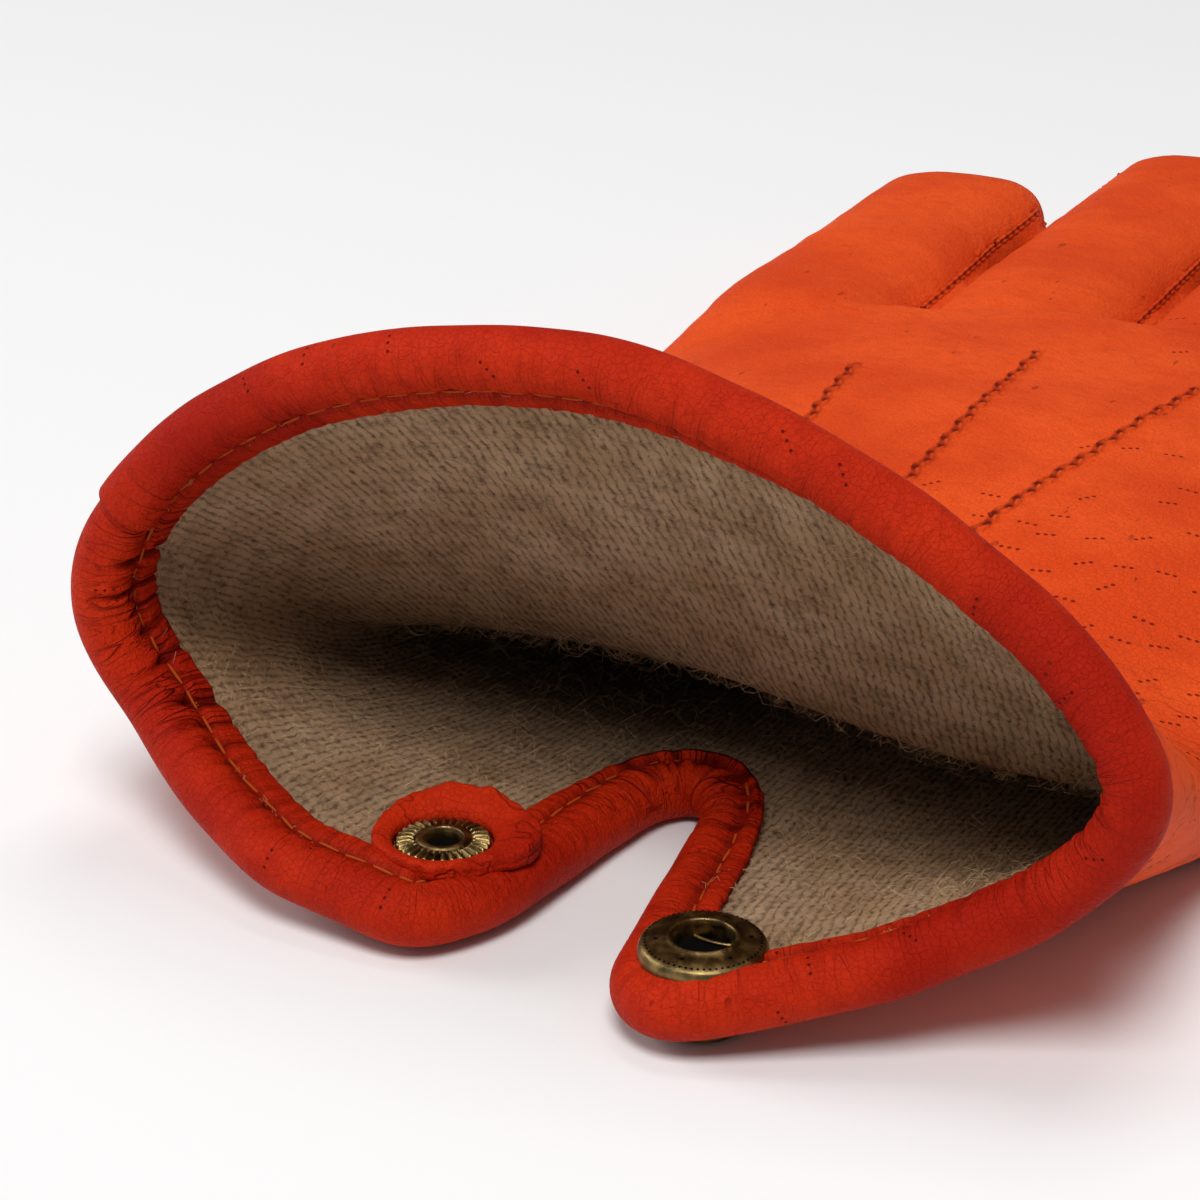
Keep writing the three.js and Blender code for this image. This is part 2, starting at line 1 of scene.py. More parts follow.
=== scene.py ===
# %% [markdown]
# # A lined peccary leather glove with its cuff pulled open
#
# The glove lies palm down. Its CAD solids are the frame, and this script dresses them: smooth leather with its
# pores, a padded and puckered roll round the cuff, sewing thread, a knitted lining and a brass press snap.
# Lengths are in millimetres in the glove's own drawing, and become metres in the frame as a piece is finished.

import math
import random
from collections import namedtuple

import bmesh
import bpy
import numpy as np
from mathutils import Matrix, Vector
from mathutils.bvhtree import BVHTree
from mathutils.noise import noise


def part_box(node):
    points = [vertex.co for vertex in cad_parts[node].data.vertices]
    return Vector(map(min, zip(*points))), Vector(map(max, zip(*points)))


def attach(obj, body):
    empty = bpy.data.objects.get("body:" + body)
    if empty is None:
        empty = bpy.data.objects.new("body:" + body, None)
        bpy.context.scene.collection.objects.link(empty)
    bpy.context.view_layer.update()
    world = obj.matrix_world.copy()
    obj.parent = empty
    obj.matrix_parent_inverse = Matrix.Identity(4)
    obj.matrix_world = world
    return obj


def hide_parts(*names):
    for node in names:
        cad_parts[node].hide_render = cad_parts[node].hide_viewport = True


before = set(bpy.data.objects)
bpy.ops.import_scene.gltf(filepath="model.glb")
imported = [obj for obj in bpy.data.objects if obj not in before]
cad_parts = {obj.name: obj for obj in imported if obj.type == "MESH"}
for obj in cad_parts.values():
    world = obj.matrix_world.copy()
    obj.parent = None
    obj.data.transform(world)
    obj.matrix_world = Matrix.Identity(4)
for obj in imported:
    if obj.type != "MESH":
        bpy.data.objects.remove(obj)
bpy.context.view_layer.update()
dice = random.Random(7)
MM = 0.001

# %% [markdown]
# ## The drawing of the glove
#
# The leather's outer surface is drawn as sections along the glove, each a rounded outline that is wide open at
# the cuff and flat at the knuckles. The numbers are those of the part's source, so the dressed pieces lie
# where the solids do.

# %% Walls and the sections of the hand
LEATHER = 1.2
LINING = 1.5
GAP = 0.3
ROLL_RADIUS = 2.85
FLANGE_TOP = -1.65  # the flange's outer face, from the roll's centre outwards
FLANGE = 0.7
FLANGE_REACH = 4.75
LINING_END = 97
ROLL_INSET = (LEATHER + GAP + LINING) / 2

# y, then the left and right sides, the seams' heights there, crown, floor, and how open the section is
HAND = np.array([
    (-16, -54.4, 51, 25, 29, 64, 1.9, 1),
    (0, -54.6, 51.2, 25, 29, 63, 1.9, 1),
    (8, -54.5, 51.2, 24.6, 28.2, 61, 1.8, 1),
    (15, -54.3, 51.2, 23.5, 26.5, 55.6, 1.7, 1),
    (25, -52.9, 50.2, 19, 21, 41.5, 0.9, 0.8),
    (35, -50.8, 48.8, 14, 15, 28, -0.2, 0.4),
    (45, -50.4, 48.4, 10.5, 11, 20, -0.6, 0.1),
    (58, -50.4, 49, 9, 9, 18.6, -0.8, 0),
    (80, -51.2, 50.4, 8.8, 8.8, 20, -0.8, 0),
    (105, -53, 50, 8.6, 8.6, 19.4, -0.8, 0),
    (130, -54.4, 49, 8.2, 8.2, 18, -0.8, 0),
    (156, -54.8, 48.8, 8, 8, 16.8, -0.8, 0),
])

# How full the section's quarters are, (across, up) at the mouth and then at the hand
QUARTERS = {
    ("back", "little"): ((1.86, 1.7), (2.5, 2.2)),
    ("back", "thumb"): ((1.6, 1.45), (2.5, 2.2)),
    ("palm", "little"): ((2.4, 2.1), (2.6, 2.8)),
    ("palm", "thumb"): ((2.3, 1.6), (2.6, 2.8)),
}

# Turn round the mouth in degrees, from the little-finger seam over the crown, and where the edge lies
RIM = np.array([
    (0, 10.5), (45, 13), (90, 15), (135, 15), (180, 11), (208, 11.5), (226, 9.5), (240, 4.6),
    (255, -0.8), (270, -2.6), (285, -0.6), (309, 5.8), (335, 11.2), (360, 10.5),
])
VENT = [
    (14, -2.2), (10, 0), (8.2, 6), (5.6, 17), (3, 28), (1, 35),
    (-3, 39), (-7.2, 36), (-9, 28), (-9.8, 18), (-10.9, 8.4), (-14.4, 2),
]
FLAP_TURNS = (250, 294)
LAP_TURN = 21  # where the roll's two ends lap over each other

# %% The fingers, the thumb and the line across the knuckles
Finger = namedtuple("Finger", "root_x root_y tip_x tip_y width tip_width tall tip_tall")
FINGERS = {
    "little": Finger(-41.4, 118, -44.4, 213, 26, 24.6, 16.6, 15),
    "ring": Finger(-15.3, 120, -17.6, 236, 25, 24, 16.8, 15),
    "middle": Finger(10.3, 120, 9.4, 243, 25, 24, 16.8, 15),
    "index": Finger(36, 118, 36.8, 232, 25, 24, 16.6, 15),
}
THUMB = Finger(26, 50, 84, 137, 38, 26, 17, 15)
ROOT_NARROWED = 0.84
TIP_ROUND = 13
CROTCHES = np.array([(-60, 140), (-28, 144), (-2.6, 151), (23, 151), (60, 142)])
FOURCHETTE = {"low": 4, "high": 12, "behind": 7, "before_tip": 10, "deep": 3.4}
POINTS = [((-13, 62), (-22.9, 118)), ((0.5, 58), (-5.8, 132.6)), ((8.6, 60), (15, 130))]

# %% The places of the snap, and with them the middle of the drawing
STUD_AT = Vector((-16.4, 11.4, 0))
SOCKET_AT = Vector((14, 3.8, 0))
stud_low, stud_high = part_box("snap_stud")
stud_middle = (Vector(stud_low) + Vector(stud_high)) / 2
CENTRE = STUD_AT - Vector((stud_middle.x, stud_middle.y, 0)) / MM
print("the frame's origin in the drawing, mm:", [round(c, 2) for c in CENTRE])

# %% [markdown]
# ## From the drawing to points
#
# Every piece of leather and knitting is placed by the same two questions: where is the skin of the hand at this
# turn and this distance from the cuff, and which way is out. Numpy answers them for thousands of points at once.

# %% Read a table on a smooth curve with no overshoot
def smooth_table(table, at):
    at = np.asarray(at, float)
    places, values = table[:, 0], table[:, 1:]
    slope = np.diff(values, axis=0) / np.diff(places)[:, None]
    before, after = slope[:-1], slope[1:]
    same_way = before * after > 0
    tangent = np.zeros_like(values)
    total = np.where(same_way, before + after, 1)
    tangent[1:-1] = np.where(same_way, 2 * before * after / total, 0)
    i = np.clip(np.searchsorted(places, at, side="right") - 1, 0, len(places) - 2)
    span = (places[1:] - places[:-1])[i][..., None]
    t = np.clip((at[..., None] - places[i][..., None]) / span, 0, 1)
    rise = values[i + 1] - values[i]
    a, b = tangent[i] * span, tangent[i + 1] * span
    return values[i] + a * t + (3 * rise - 2 * a - b) * t**2 + (a + b - 2 * rise) * t**3


def rim_y(turn):
    return smooth_table(RIM, np.mod(turn, 360))[..., 0]


def crotch_y(x):
    return smooth_table(CROTCHES, x)[..., 0]


# %% The skin of the hand and the way out of it
def fullness(y, thumb_side, back):
    opened = smooth_table(HAND, y)[..., 6]
    result = np.zeros(opened.shape + (2,))
    for (half, side), (mouth, hand) in QUARTERS.items():
        here = (back == (half == "back")) & (thumb_side == (side == "thumb"))
        blend = np.array(hand) + (np.array(mouth) - np.array(hand)) * opened[..., None]
        result = np.where(here[..., None], blend, result)
    return result[..., 0], result[..., 1]


def power(value, exponent):
    return np.sign(value) * np.abs(value) ** (2 / exponent)


def skin(turn, y):
    turn, y = np.broadcast_arrays(np.asarray(turn, float), np.asarray(y, float))
    left, right, seam_left, seam_right, crown, floor, _ = np.moveaxis(smooth_table(HAND, y), -1, 0)
    cosine, sine = -np.cos(np.radians(turn)), np.sin(np.radians(turn))
    full_across, full_up = fullness(y, cosine > 0, sine > 0)
    across = power(cosine, full_across)
    x = (left + right) / 2 + (right - left) / 2 * across
    seam = (seam_left + seam_right) / 2 + (seam_right - seam_left) / 2 * across
    z = seam + np.where(sine > 0, crown - seam, seam - floor) * power(sine, full_up)
    return np.stack([x, y, np.maximum(z, 0)], -1)


def unit(vectors):
    return vectors / np.maximum(np.linalg.norm(vectors, axis=-1, keepdims=True), 1e-9)


def bell(offset, wide):
    return np.exp(-((offset / wide) ** 2))


def ramp(value, low, span):
    return np.clip((value - low) / span, 0, 1)


def eased(share):
    return share**2 * (3 - 2 * share)


def skin_normal(turn, y):
    along = skin(turn, np.asarray(y) + 0.5) - skin(turn, np.asarray(y) - 0.5)
    around = skin(np.asarray(turn) + 1, y) - skin(np.asarray(turn) - 1, y)
    return unit(-np.cross(along, around))


def wall(turn, y, inset):
    points = skin(turn, y) - skin_normal(turn, y) * np.asarray(inset)[..., None]
    points[..., 2] = np.maximum(points[..., 2], inset)
    return points


def turn_at(x, y, back):
    left, right = np.moveaxis(smooth_table(HAND, y), -1, 0)[:2]
    across = np.clip((2 * x - left - right) / (right - left), -1, 1)
    back = np.broadcast_to(back, np.shape(across))
    exponent, _ = fullness(y, across > 0, back)
    angle = np.degrees(np.arccos(-np.sign(across) * np.abs(across) ** (exponent / 2)))
    return np.where(back, angle, 360 - angle)


# %% Measure a line, spread points evenly along it and smooth it
def distances(points):
    return np.r_[0, np.cumsum(np.linalg.norm(np.diff(points[:, :3], axis=0), axis=1))]


def smoothed(line, times):
    for _ in range(times):
        line[1:-1] = (line[:-2] + 2 * line[1:-1] + line[2:]) / 4
    return line


def averaged(values, over):
    return np.convolve(values, np.ones(over) / over, mode="same")


def even(points, count, closed=False):
    points = np.asarray(points, float)
    if closed:
        points = np.vstack([points, points[:1]])
    lengths = distances(points)
    at = np.linspace(0, lengths[-1], count + 1 if closed else count)
    spread = np.stack([np.interp(at, lengths, points[:, k]) for k in range(points.shape[1])], 1)
    return spread[:-1] if closed else spread


# %% [markdown]
# ## A net of faces over rings of points
#
# Most soft pieces here are one sheet rolled up: the leather, the roll, the lining. `create_grid` makes the flat
# sheet, its vertices are moved onto the rings, and the two edges that meet are welded. The sheet keeps the grid's
# own map, so a pattern can follow the cloth.

# %% Roll a grid onto rings of points
def net(rings, **layers):
    """A bmesh sheet over the rings, with each layer's numbers painted on its vertices."""
    rings = np.asarray(rings, float)
    rings = np.concatenate([rings, rings[:, :1]], axis=1)
    rows, columns = rings.shape[:2]
    sheet = bmesh.new()
    sheet.loops.layers.uv.new("map")
    for name in layers:
        sheet.verts.layers.float.new(name)
    painted = [(sheet.verts.layers.float[name], values) for name, values in layers.items()]
    bmesh.ops.create_grid(sheet, x_segments=columns - 1, y_segments=rows - 1, size=1, calc_uvs=True)
    for vertex in sheet.verts:
        i = round((vertex.co.x + 1) / 2 * (columns - 1))
        j = round((vertex.co.y + 1) / 2 * (rows - 1))
        vertex.co = rings[j, i]
        for layer, values in painted:
            vertex[layer] = values[j, i % values.shape[1]]
    bmesh.ops.remove_doubles(sheet, verts=sheet.verts, dist=1e-4)
    return sheet


def close_ends(sheet):
    loops = [edge for edge in sheet.edges if edge.is_boundary]
    bmesh.ops.holes_fill(sheet, edges=loops)
    bmesh.ops.recalc_face_normals(sheet, faces=sheet.faces)


# %% Make a mesh, and a finished object, of a bmesh drawn in millimetres
def to_mesh(shape, name):
    mesh = bpy.data.meshes.new(name)
    shape.to_mesh(mesh)
    shape.free()
    return mesh


def add_mesh(shape, mesh):
    shape.from_mesh(mesh)
    bpy.data.meshes.remove(mesh)


def finish_piece(name, shape, material, slot, *nodes):
    bmesh.ops.translate(shape, verts=shape.verts, vec=-CENTRE)
    bmesh.ops.scale(shape, verts=shape.verts, vec=(MM, MM, MM))
    mesh = to_mesh(shape, name)
    for polygon in mesh.polygons:
        polygon.use_smooth = True
    mesh.materials.append(material)
    piece = bpy.data.objects.new(name, mesh)
    bpy.context.scene.collection.objects.link(piece)
    if nodes:
        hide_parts(*nodes)
    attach(piece, "root")
    print(name, len(mesh.polygons), "faces")
    return piece


def apply_modifiers(piece):
    depsgraph = bpy.context.evaluated_depsgraph_get()
    mesh = bpy.data.meshes.new_from_object(piece.evaluated_get(depsgraph))
    piece.modifiers.clear()
    piece.data = mesh
    return mesh


def add_wall(piece, thickness):
    """Give a sheet its thickness, on the side away from its faces' normals."""
    wall_mod = piece.modifiers.new("wall", "SOLIDIFY")
    wall_mod.thickness = thickness * MM
    wall_mod.offset = -1


# %% [markdown]
# ## Finishes
#
# A material is a small graph of nodes. A helper adds a node, sets its values and links what it is given, so each
# finish reads from top to bottom as a recipe. The outputs of nodes add and multiply as numbers do.

# %% Outputs of nodes, and sums of them
class Value:
    """An output of a node, with which arithmetic makes Math nodes."""

    def __init__(self, recipe, socket):
        self.recipe, self.socket = recipe, socket

    def __add__(self, other):
        return self.recipe.math("ADD", self, other)

    def __sub__(self, other):
        return self.recipe.math("SUBTRACT", self, other)

    def __mul__(self, other):
        return self.recipe.math("MULTIPLY", self, other)

    def __truediv__(self, other):
        return self.recipe.math("DIVIDE", self, other)

    def __mod__(self, other):
        return self.recipe.math("MODULO", self, other)

    def __pow__(self, other):
        return self.recipe.math("POWER", self, other)

    def __abs__(self):
        return self.recipe.math("ABSOLUTE", self)


# %% A short way to write node graphs
class Recipe:
    def __init__(self, name):
        self.material = bpy.data.materials.new(name)
        self.material.use_nodes = True
        self.tree = self.material.node_tree

    def feed(self, socket, value):
        if isinstance(value, Value):
            self.tree.links.new(value.socket, socket)
        else:
            socket.default_value = value

    def put(self, kind, inputs=None, outputs=(0,), **settings):
        """Add a node, and give back the output that is named, or a list if several are."""
        node = self.tree.nodes.new(kind)
        for key, value in settings.items():
            setattr(node, key, value)
        for key, value in (inputs or {}).items():
            self.feed(node.inputs[key], value)
        values = [Value(self, node.outputs[key]) for key in outputs]
        return values[0] if len(values) == 1 else values

    def math(self, operation, *values, clamp=False):
        return self.put("ShaderNodeMath", dict(enumerate(values)), operation=operation, use_clamp=clamp)

    def step(self, value, low, high, to_low=0.0, to_high=1.0):
        pairs = {0: value, 1: low, 2: high, 3: to_low, 4: to_high}
        return self.put("ShaderNodeMapRange", pairs, interpolation_type="SMOOTHSTEP")

    def mapped(self, vector, scale, **more):
        return self.put("ShaderNodeMapping", {0: vector, "Scale": scale, **more})

    def place(self):
        """Object coordinates in millimetres."""
        return self.mapped(self.put("ShaderNodeTexCoord", outputs=["Object"]), (1000, 1000, 1000))

    def cloth_map(self):
        return self.put("ShaderNodeUVMap", uv_map="map")

    def painted(self, name):
        return self.put("ShaderNodeAttribute", outputs=["Fac"], attribute_name=name)

    def split(self, vector):
        return self.put("ShaderNodeSeparateXYZ", {0: vector}, (0, 1, 2))

    def noise(self, vector, scale, detail=3.0, rough=0.55):
        pairs = {"Vector": vector, "Scale": scale, "Detail": detail, "Roughness": rough}
        return self.put("ShaderNodeTexNoise", pairs, ["Fac"])

    def mix(self, share, first, second):
        """Mix two colours, each a colour's three numbers or an output."""
        first, second = [c if isinstance(c, Value) else (*c, 1) for c in (first, second)]
        return self.put("ShaderNodeMix", {0: share, 6: first, 7: second}, [2], data_type="RGBA")

    def bump(self, height, distance, strength=1.0):
        return self.put("ShaderNodeBump", {"Height": height, "Distance": distance, "Strength": strength})

    def finish(self, **sockets):
        for name, value in sockets.items():
            self.feed(self.tree.nodes["Principled BSDF"].inputs[name.replace("_", " ")], value)
        return self.material


# %% [markdown]
# ### Peccary leather
#
# Peccary is known by its pores, which stand in threes where the bristles grew. The back shows rows of these
# groups of three pinholes, a fine grain between them and a few short dark scars. The groups are laid out in a
# grid of cells, every other row shifted by half a cell, and a white noise moves and drops single groups.

# %% Pores in threes
PORE_CELL = (4.5, 5.2)  # along a row, and from row to row
PORE_APART = 0.78
PORE_SHIFT = (1.0, 1.6)  # how far a group may lie from the middle of its cell
PORE_TILT = 0.45
ROW_HEADING = math.radians(28)  # which way the rows run over the glove


def pore_mask(recipe, place, missing, dot):
    """Dots in threes over a plane in millimetres; missing is the share of the groups that is left out."""
    along, up, _ = recipe.split(
        recipe.put("ShaderNodeVectorRotate", {"Vector": place, "Angle": -ROW_HEADING}, rotation_type="Z_AXIS"))
    wide, high = PORE_CELL
    row = recipe.math("FLOOR", up / high)
    shifted = recipe.math("MULTIPLY_ADD", row % 2.0, wide / 2, along)
    column = recipe.math("FLOOR", shifted / wide)
    cell = recipe.put("ShaderNodeCombineXYZ", {0: column, 1: row})
    luck, colour = recipe.put("ShaderNodeTexWhiteNoise", {"Vector": cell}, ["Value", "Color"], noise_dimensions="3D")
    chances = recipe.put("ShaderNodeSeparateColor", {0: colour}, (0, 1, 2))
    across = shifted - recipe.math("MULTIPLY_ADD", column, wide, wide / 2)
    beside = up - recipe.math("MULTIPLY_ADD", row, high, high / 2)
    across = across - recipe.step(chances[0], 0, 1, -PORE_SHIFT[0], PORE_SHIFT[0])
    beside = beside - recipe.step(chances[1], 0, 1, -PORE_SHIFT[1], PORE_SHIFT[1])
    number = recipe.math("ROUND", across / PORE_APART)
    number = recipe.math("MINIMUM", recipe.math("MAXIMUM", number, -1.0), 1.0)
    across = across - number * PORE_APART
    beside = beside - recipe.step(chances[2], 0, 1, -PORE_TILT, PORE_TILT) * number
    far = recipe.math("SQRT", across**2.0 + beside**2.0)
    present = recipe.math("GREATER_THAN", luck, missing)
    return recipe.step(far, dot, dot * 0.45) * present


# %% The leather of the hand, and the deeper red leather of the binding
ROLL_LENGTH = 308  # of the binding's map, in millimetres
ROLL_ROUND = 18.5


def pulled_creases(recipe, at, scale, wide):
    """Thin creases where the leather is pulled, which leather() bumps in and darkens as painted shade; the scale says
    which way they run.
    """
    offset = abs(recipe.noise(recipe.mapped(at, scale), 1.0, 2.5, 0.5) - 0.5)
    return recipe.step(offset, wide, 0.0)


def leather(name, colour, shade, missing=0.25, dot=0.27, on_roll=False):
    recipe = Recipe(name)
    place = recipe.place()
    grain = recipe.noise(place, 2.6, 5.0, 0.62)
    cells = recipe.put("ShaderNodeTexVoronoi", {"Vector": place, "Scale": 1.5}, ["Distance"],
                       feature="DISTANCE_TO_EDGE")
    height = grain * 0.8 + recipe.step(cells, 0.0, 0.09) * 0.3 + recipe.noise(place, 0.7, 3.0) * 2.2
    clouds = recipe.noise(place, 0.05, 3.0)
    mottle = recipe.noise(place, 0.5, 4.0)
    scars = recipe.step(recipe.noise(recipe.mapped(place, (0.6, 0.18, 0.4)), 1.0, 2.0), 0.72, 0.76)
    if on_roll:
        pores_at = recipe.mapped(recipe.cloth_map(), (ROLL_ROUND, ROLL_LENGTH, 1))
        height = height + recipe.noise(recipe.mapped(pores_at, (0.16, 1.5, 1)), 1.0, 3.0) * 1.3
        long_ones = pulled_creases(recipe, pores_at, (0.05, 0.3, 1), 0.011)
        short_ones = pulled_creases(recipe, pores_at, (0.14, 0.8, 1), 0.016)
        tight = recipe.math("MAXIMUM", long_ones, short_ones * 0.6) * recipe.painted("pull")
        height = height - tight * 2.6
    else:
        pores_at = place
        x, y, _ = recipe.split(place)
        to_fingers = recipe.step(y, -50, -10, 0.0, 0.65)
        to_little = recipe.step(x, -8, -38, 0.0, 0.5)
        missing = to_fingers + to_little + missing
        near_cuff = recipe.step(y, -45, -85, 0.0, 0.45)
        tight = pulled_creases(recipe, place, (0.09, 0.2, 0.2), 0.012) * near_cuff
        height = height - tight * 1.8
    base = recipe.mix(recipe.step(clouds, 0.35, 0.7), colour, shade)
    base = recipe.mix(recipe.step(mottle, 0.45, 0.7) * 0.4, base, shade)
    base = recipe.mix(recipe.step(grain, 0.45, 0.25, 0.0, 0.55), base, shade)
    pores = pore_mask(recipe, pores_at, missing, dot)
    # These spots darken the colour: the real scars and pores, and painted shade from the vertices' shade layer and
    # from the pulled creases.
    spots_and_shade = recipe.math("MAXIMUM", scars * 0.4, pores * 0.85)
    spots_and_shade = recipe.math("MAXIMUM", spots_and_shade, recipe.painted("shade"))
    spots_and_shade = recipe.math("MAXIMUM", spots_and_shade, tight * 0.75, clamp=True)
    height = height - pores * 1.6 - scars * 0.8
    base = recipe.mix(spots_and_shade, base, (shade[0] * 0.2, shade[1] * 0.1, shade[2] * 0.3))
    rough = recipe.step(grain, 0.3, 0.7, 0.5, 0.66)
    return recipe.finish(Base_Color=base, Roughness=rough, Normal=recipe.bump(height, 0.0002, 0.9),
                         Specular_IOR_Level=0.07)


BINDING = (0.55, 0.025, 0.003), (0.36, 0.009, 0.0015)
hand_leather = leather("peccary", (0.82, 0.088, 0.012), (0.68, 0.056, 0.007))
binding_leather = leather("binding", *BINDING, missing=0.72, dot=0.17, on_roll=True)
patch_leather = leather("patch", *BINDING, missing=0.6, dot=0.2)

# %% [markdown]
# ### Knitting, thread and brass
#
# The lining is a fine stocking stitch: ribs that run along the glove, each a column of small slanted loops, under
# a haze of fibre. The brass has been darkened and then rubbed bright where it stands proud, and its hollows are
# painted with shade.

# %% The knitted lining
WALES = 215  # ribs round the glove
COURSE = 1.25  # from row to row of loops
KNIT_ROWS = (LINING_END - 8) / COURSE


def knit():
    recipe = Recipe("knit")
    across, along, _ = recipe.split(recipe.cloth_map())
    place = recipe.place()
    wobble = recipe.noise(place, 0.6, 3.0)
    inside = recipe.math("FRACT", across * WALES + wobble * 1.5)
    along = along * KNIT_ROWS + wobble * 1.2
    column = recipe.math("SINE", inside * math.pi)
    slant = along * (2 * math.pi) + abs(inside - 0.5) * 5.0
    loops = recipe.step(recipe.math("SINE", slant), -1, 1)
    haze = recipe.noise(place, 0.9, 9.0, 0.8)
    one_way = recipe.mapped(place, (1.0, 6.0, 3.0), Rotation=(0.4, 0.3, 0.5))
    other_way = recipe.mapped(place, (6.0, 1.0, 3.0), Rotation=(0.2, 0.5, 0.9))
    fluff = recipe.noise(one_way, 0.9, 6.0, 0.8) + recipe.noise(other_way, 0.9, 6.0, 0.8)
    clouds = recipe.noise(place, 0.12, 4.0, 0.6)
    clear = recipe.step(recipe.noise(place, 0.3, 3.0), 0.7, 0.3, 0.4, 0.9)
    height = (column * 0.85 + loops * 0.28) * clear + haze * 1.9 + fluff * 1.1
    light = recipe.mix(recipe.step(clouds, 0.3, 0.7), (0.98, 0.645, 0.38), (0.76, 0.445, 0.22))
    base = recipe.mix(recipe.step(height, 1.7, 2.8), (0.16, 0.06, 0.015), light)
    # Painted shade: the knit goes dark where the lining's shade layer says, deep in the hand.
    base = recipe.mix(recipe.painted("shade"), base, (0.06, 0.03, 0.01))
    return recipe.finish(Base_Color=base, Roughness=0.95, Normal=recipe.bump(height, 0.0005),
                         Sheen_Weight=0.08, Sheen_Roughness=0.6, Specular_IOR_Level=0.05)


wool = knit()

# %% Sewing thread, fibres, and the black of painted shade in the snap's hollows
def plain(name, colour, rough, **more):
    recipe = Recipe(name)
    fine = recipe.noise(recipe.place(), 5.0, 3.0)
    base = recipe.mix(fine, [c * 0.72 for c in colour], colour)
    return recipe.finish(Base_Color=base, Roughness=rough, Normal=recipe.bump(fine, 0.00006), **more)


thread = plain("thread", (0.50, 0.075, 0.008), 0.7, Specular_IOR_Level=0.1)
fibre = plain("fibre", (0.66, 0.44, 0.25), 0.9, Specular_IOR_Level=0.1)
# Near black as painted shade in the snap's holes and punched dots; six small marks share it.
hollow_shade_and_marks = plain("hollow_shade_and_marks", (0.006, 0.005, 0.005), 0.9, Specular_IOR_Level=0.0)

# %% Darkened brass
def brass(name, dark, bright):
    recipe = Recipe(name)
    place = recipe.place()
    edge = recipe.put("ShaderNodeNewGeometry", outputs=["Pointiness"])
    cloud = recipe.noise(place, 0.7, 4.0)
    share = (recipe.step(edge, 0.5, 0.56) + recipe.step(cloud, 0.4, 0.7)) * 0.5
    base = recipe.mix(share, dark, bright)
    # Painted shade: the brass goes near black in its hollows.
    base = recipe.mix(recipe.step(edge, 0.495, 0.44, 0.0, 0.9), base, (0.025, 0.018, 0.01))
    rough = recipe.step(cloud, 0.3, 0.7, 0.27, 0.42)
    fine = recipe.noise(place, 9.0, 2.0)
    return recipe.finish(Base_Color=base, Roughness=rough, Normal=recipe.bump(fine, 0.00003), Metallic=1.0)


snap_brass = brass("antique_brass", (0.12, 0.08, 0.03), (0.47, 0.325, 0.125))

# %% [markdown]
# ## The leather of the hand
#
# A dress glove's back, palm and finger fronts are one piece of leather, with thin strips between the fingers and
# a separate thumb. Hand, fingers and thumb are drawn as closed shapes that run into each other. A voxel remesh
# makes one skin of them with soft valleys, which planes and the glove's own seams then part into its pieces.

# %% Close a rolled sheet by flattening its end rings onto a line
def closed_rings(rings):
    def flattened(ring):
        middle = (ring[:, 2].max() + ring[:, 2].min()) / 2
        levels = []
        for share in (0.7, 0.35, 0.02):
            level = ring.copy()
            level[:, 2] = middle + (ring[:, 2] - middle) * share
            levels.append(level)
        return levels

    return flattened(rings[0])[::-1] + list(rings) + flattened(rings[-1])


# %% Draw the hand and one finger
HAND_TURNS = np.arange(0, 360, 1.5)


def hand_rings():
    rings = []
    for y in np.linspace(-12, 156, 130):
        ring = even(skin(HAND_TURNS, y), 220, closed=True)
        ring[:, 1] = np.minimum(ring[:, 1], crotch_y(ring[:, 0]))
        rings.append(ring)
    return rings


FINGER_AROUND = 72


def finger_rings(finger):
    root_x, root_y, tip_x, tip_y, width, tip_width, tall, tip_tall = finger
    line = np.array([tip_x - root_x, tip_y - root_y])
    length = np.linalg.norm(line)
    ahead = line / length
    turn = np.linspace(0, 2 * math.pi, FINGER_AROUND, endpoint=False)
    places = np.r_[np.linspace(0, length - TIP_ROUND, 44)[:-1],
                   length - TIP_ROUND + TIP_ROUND * np.sin(np.linspace(0, math.pi / 2, 14)[:-1])]
    rings = []
    for at in places:
        share = at / length
        over = max((at - length + TIP_ROUND) / TIP_ROUND, 0)
        root = min(ROOT_NARROWED + (1 - ROOT_NARROWED) * share / 0.27, 1)
        half = (width + (tip_width - width) * share) / 2 * math.sqrt(1 - over**2) * root
        height = (tall + (tip_tall - tall) * share) * (1 - over**2) ** 0.25 * root
        across = -power(np.cos(turn), 3.4) * half
        z = height / 2 - 0.3 + power(np.sin(turn), 2.8) * (height / 2 + 0.3)
        ring = np.stack([root_x + ahead[0] * at + ahead[1] * across,
                         root_y + ahead[1] * at - ahead[0] * across, np.maximum(z, 0)], 1)
        rings.append(ring)
    return rings


# %% Melt the shapes into one skin
VOXEL = 1.15
SMOOTHINGS = 5


def gather(shapes):
    together = bmesh.new()
    for shape in shapes:
        add_mesh(together, to_mesh(shape, "part"))
    return together


def melted(shapes):
    helper = bpy.data.objects.new("melted", to_mesh(gather(shapes), "melted"))
    bpy.context.scene.collection.objects.link(helper)
    remesh = helper.modifiers.new("skin", "REMESH")
    remesh.mode = "VOXEL"
    remesh.voxel_size = VOXEL
    soften = helper.modifiers.new("soften", "SMOOTH")
    soften.factor = 0.5
    soften.iterations = SMOOTHINGS
    mesh = apply_modifiers(helper)
    bpy.data.objects.remove(helper)
    return mesh


shapes = []
for rings in [hand_rings()] + [finger_rings(finger) for finger in [*FINGERS.values(), THUMB]]:
    shape = net(closed_rings(rings))
    close_ends(shape)
    shapes.append(shape)
skin_mesh = melted(shapes)
print("skin", len(skin_mesh.polygons), "faces")
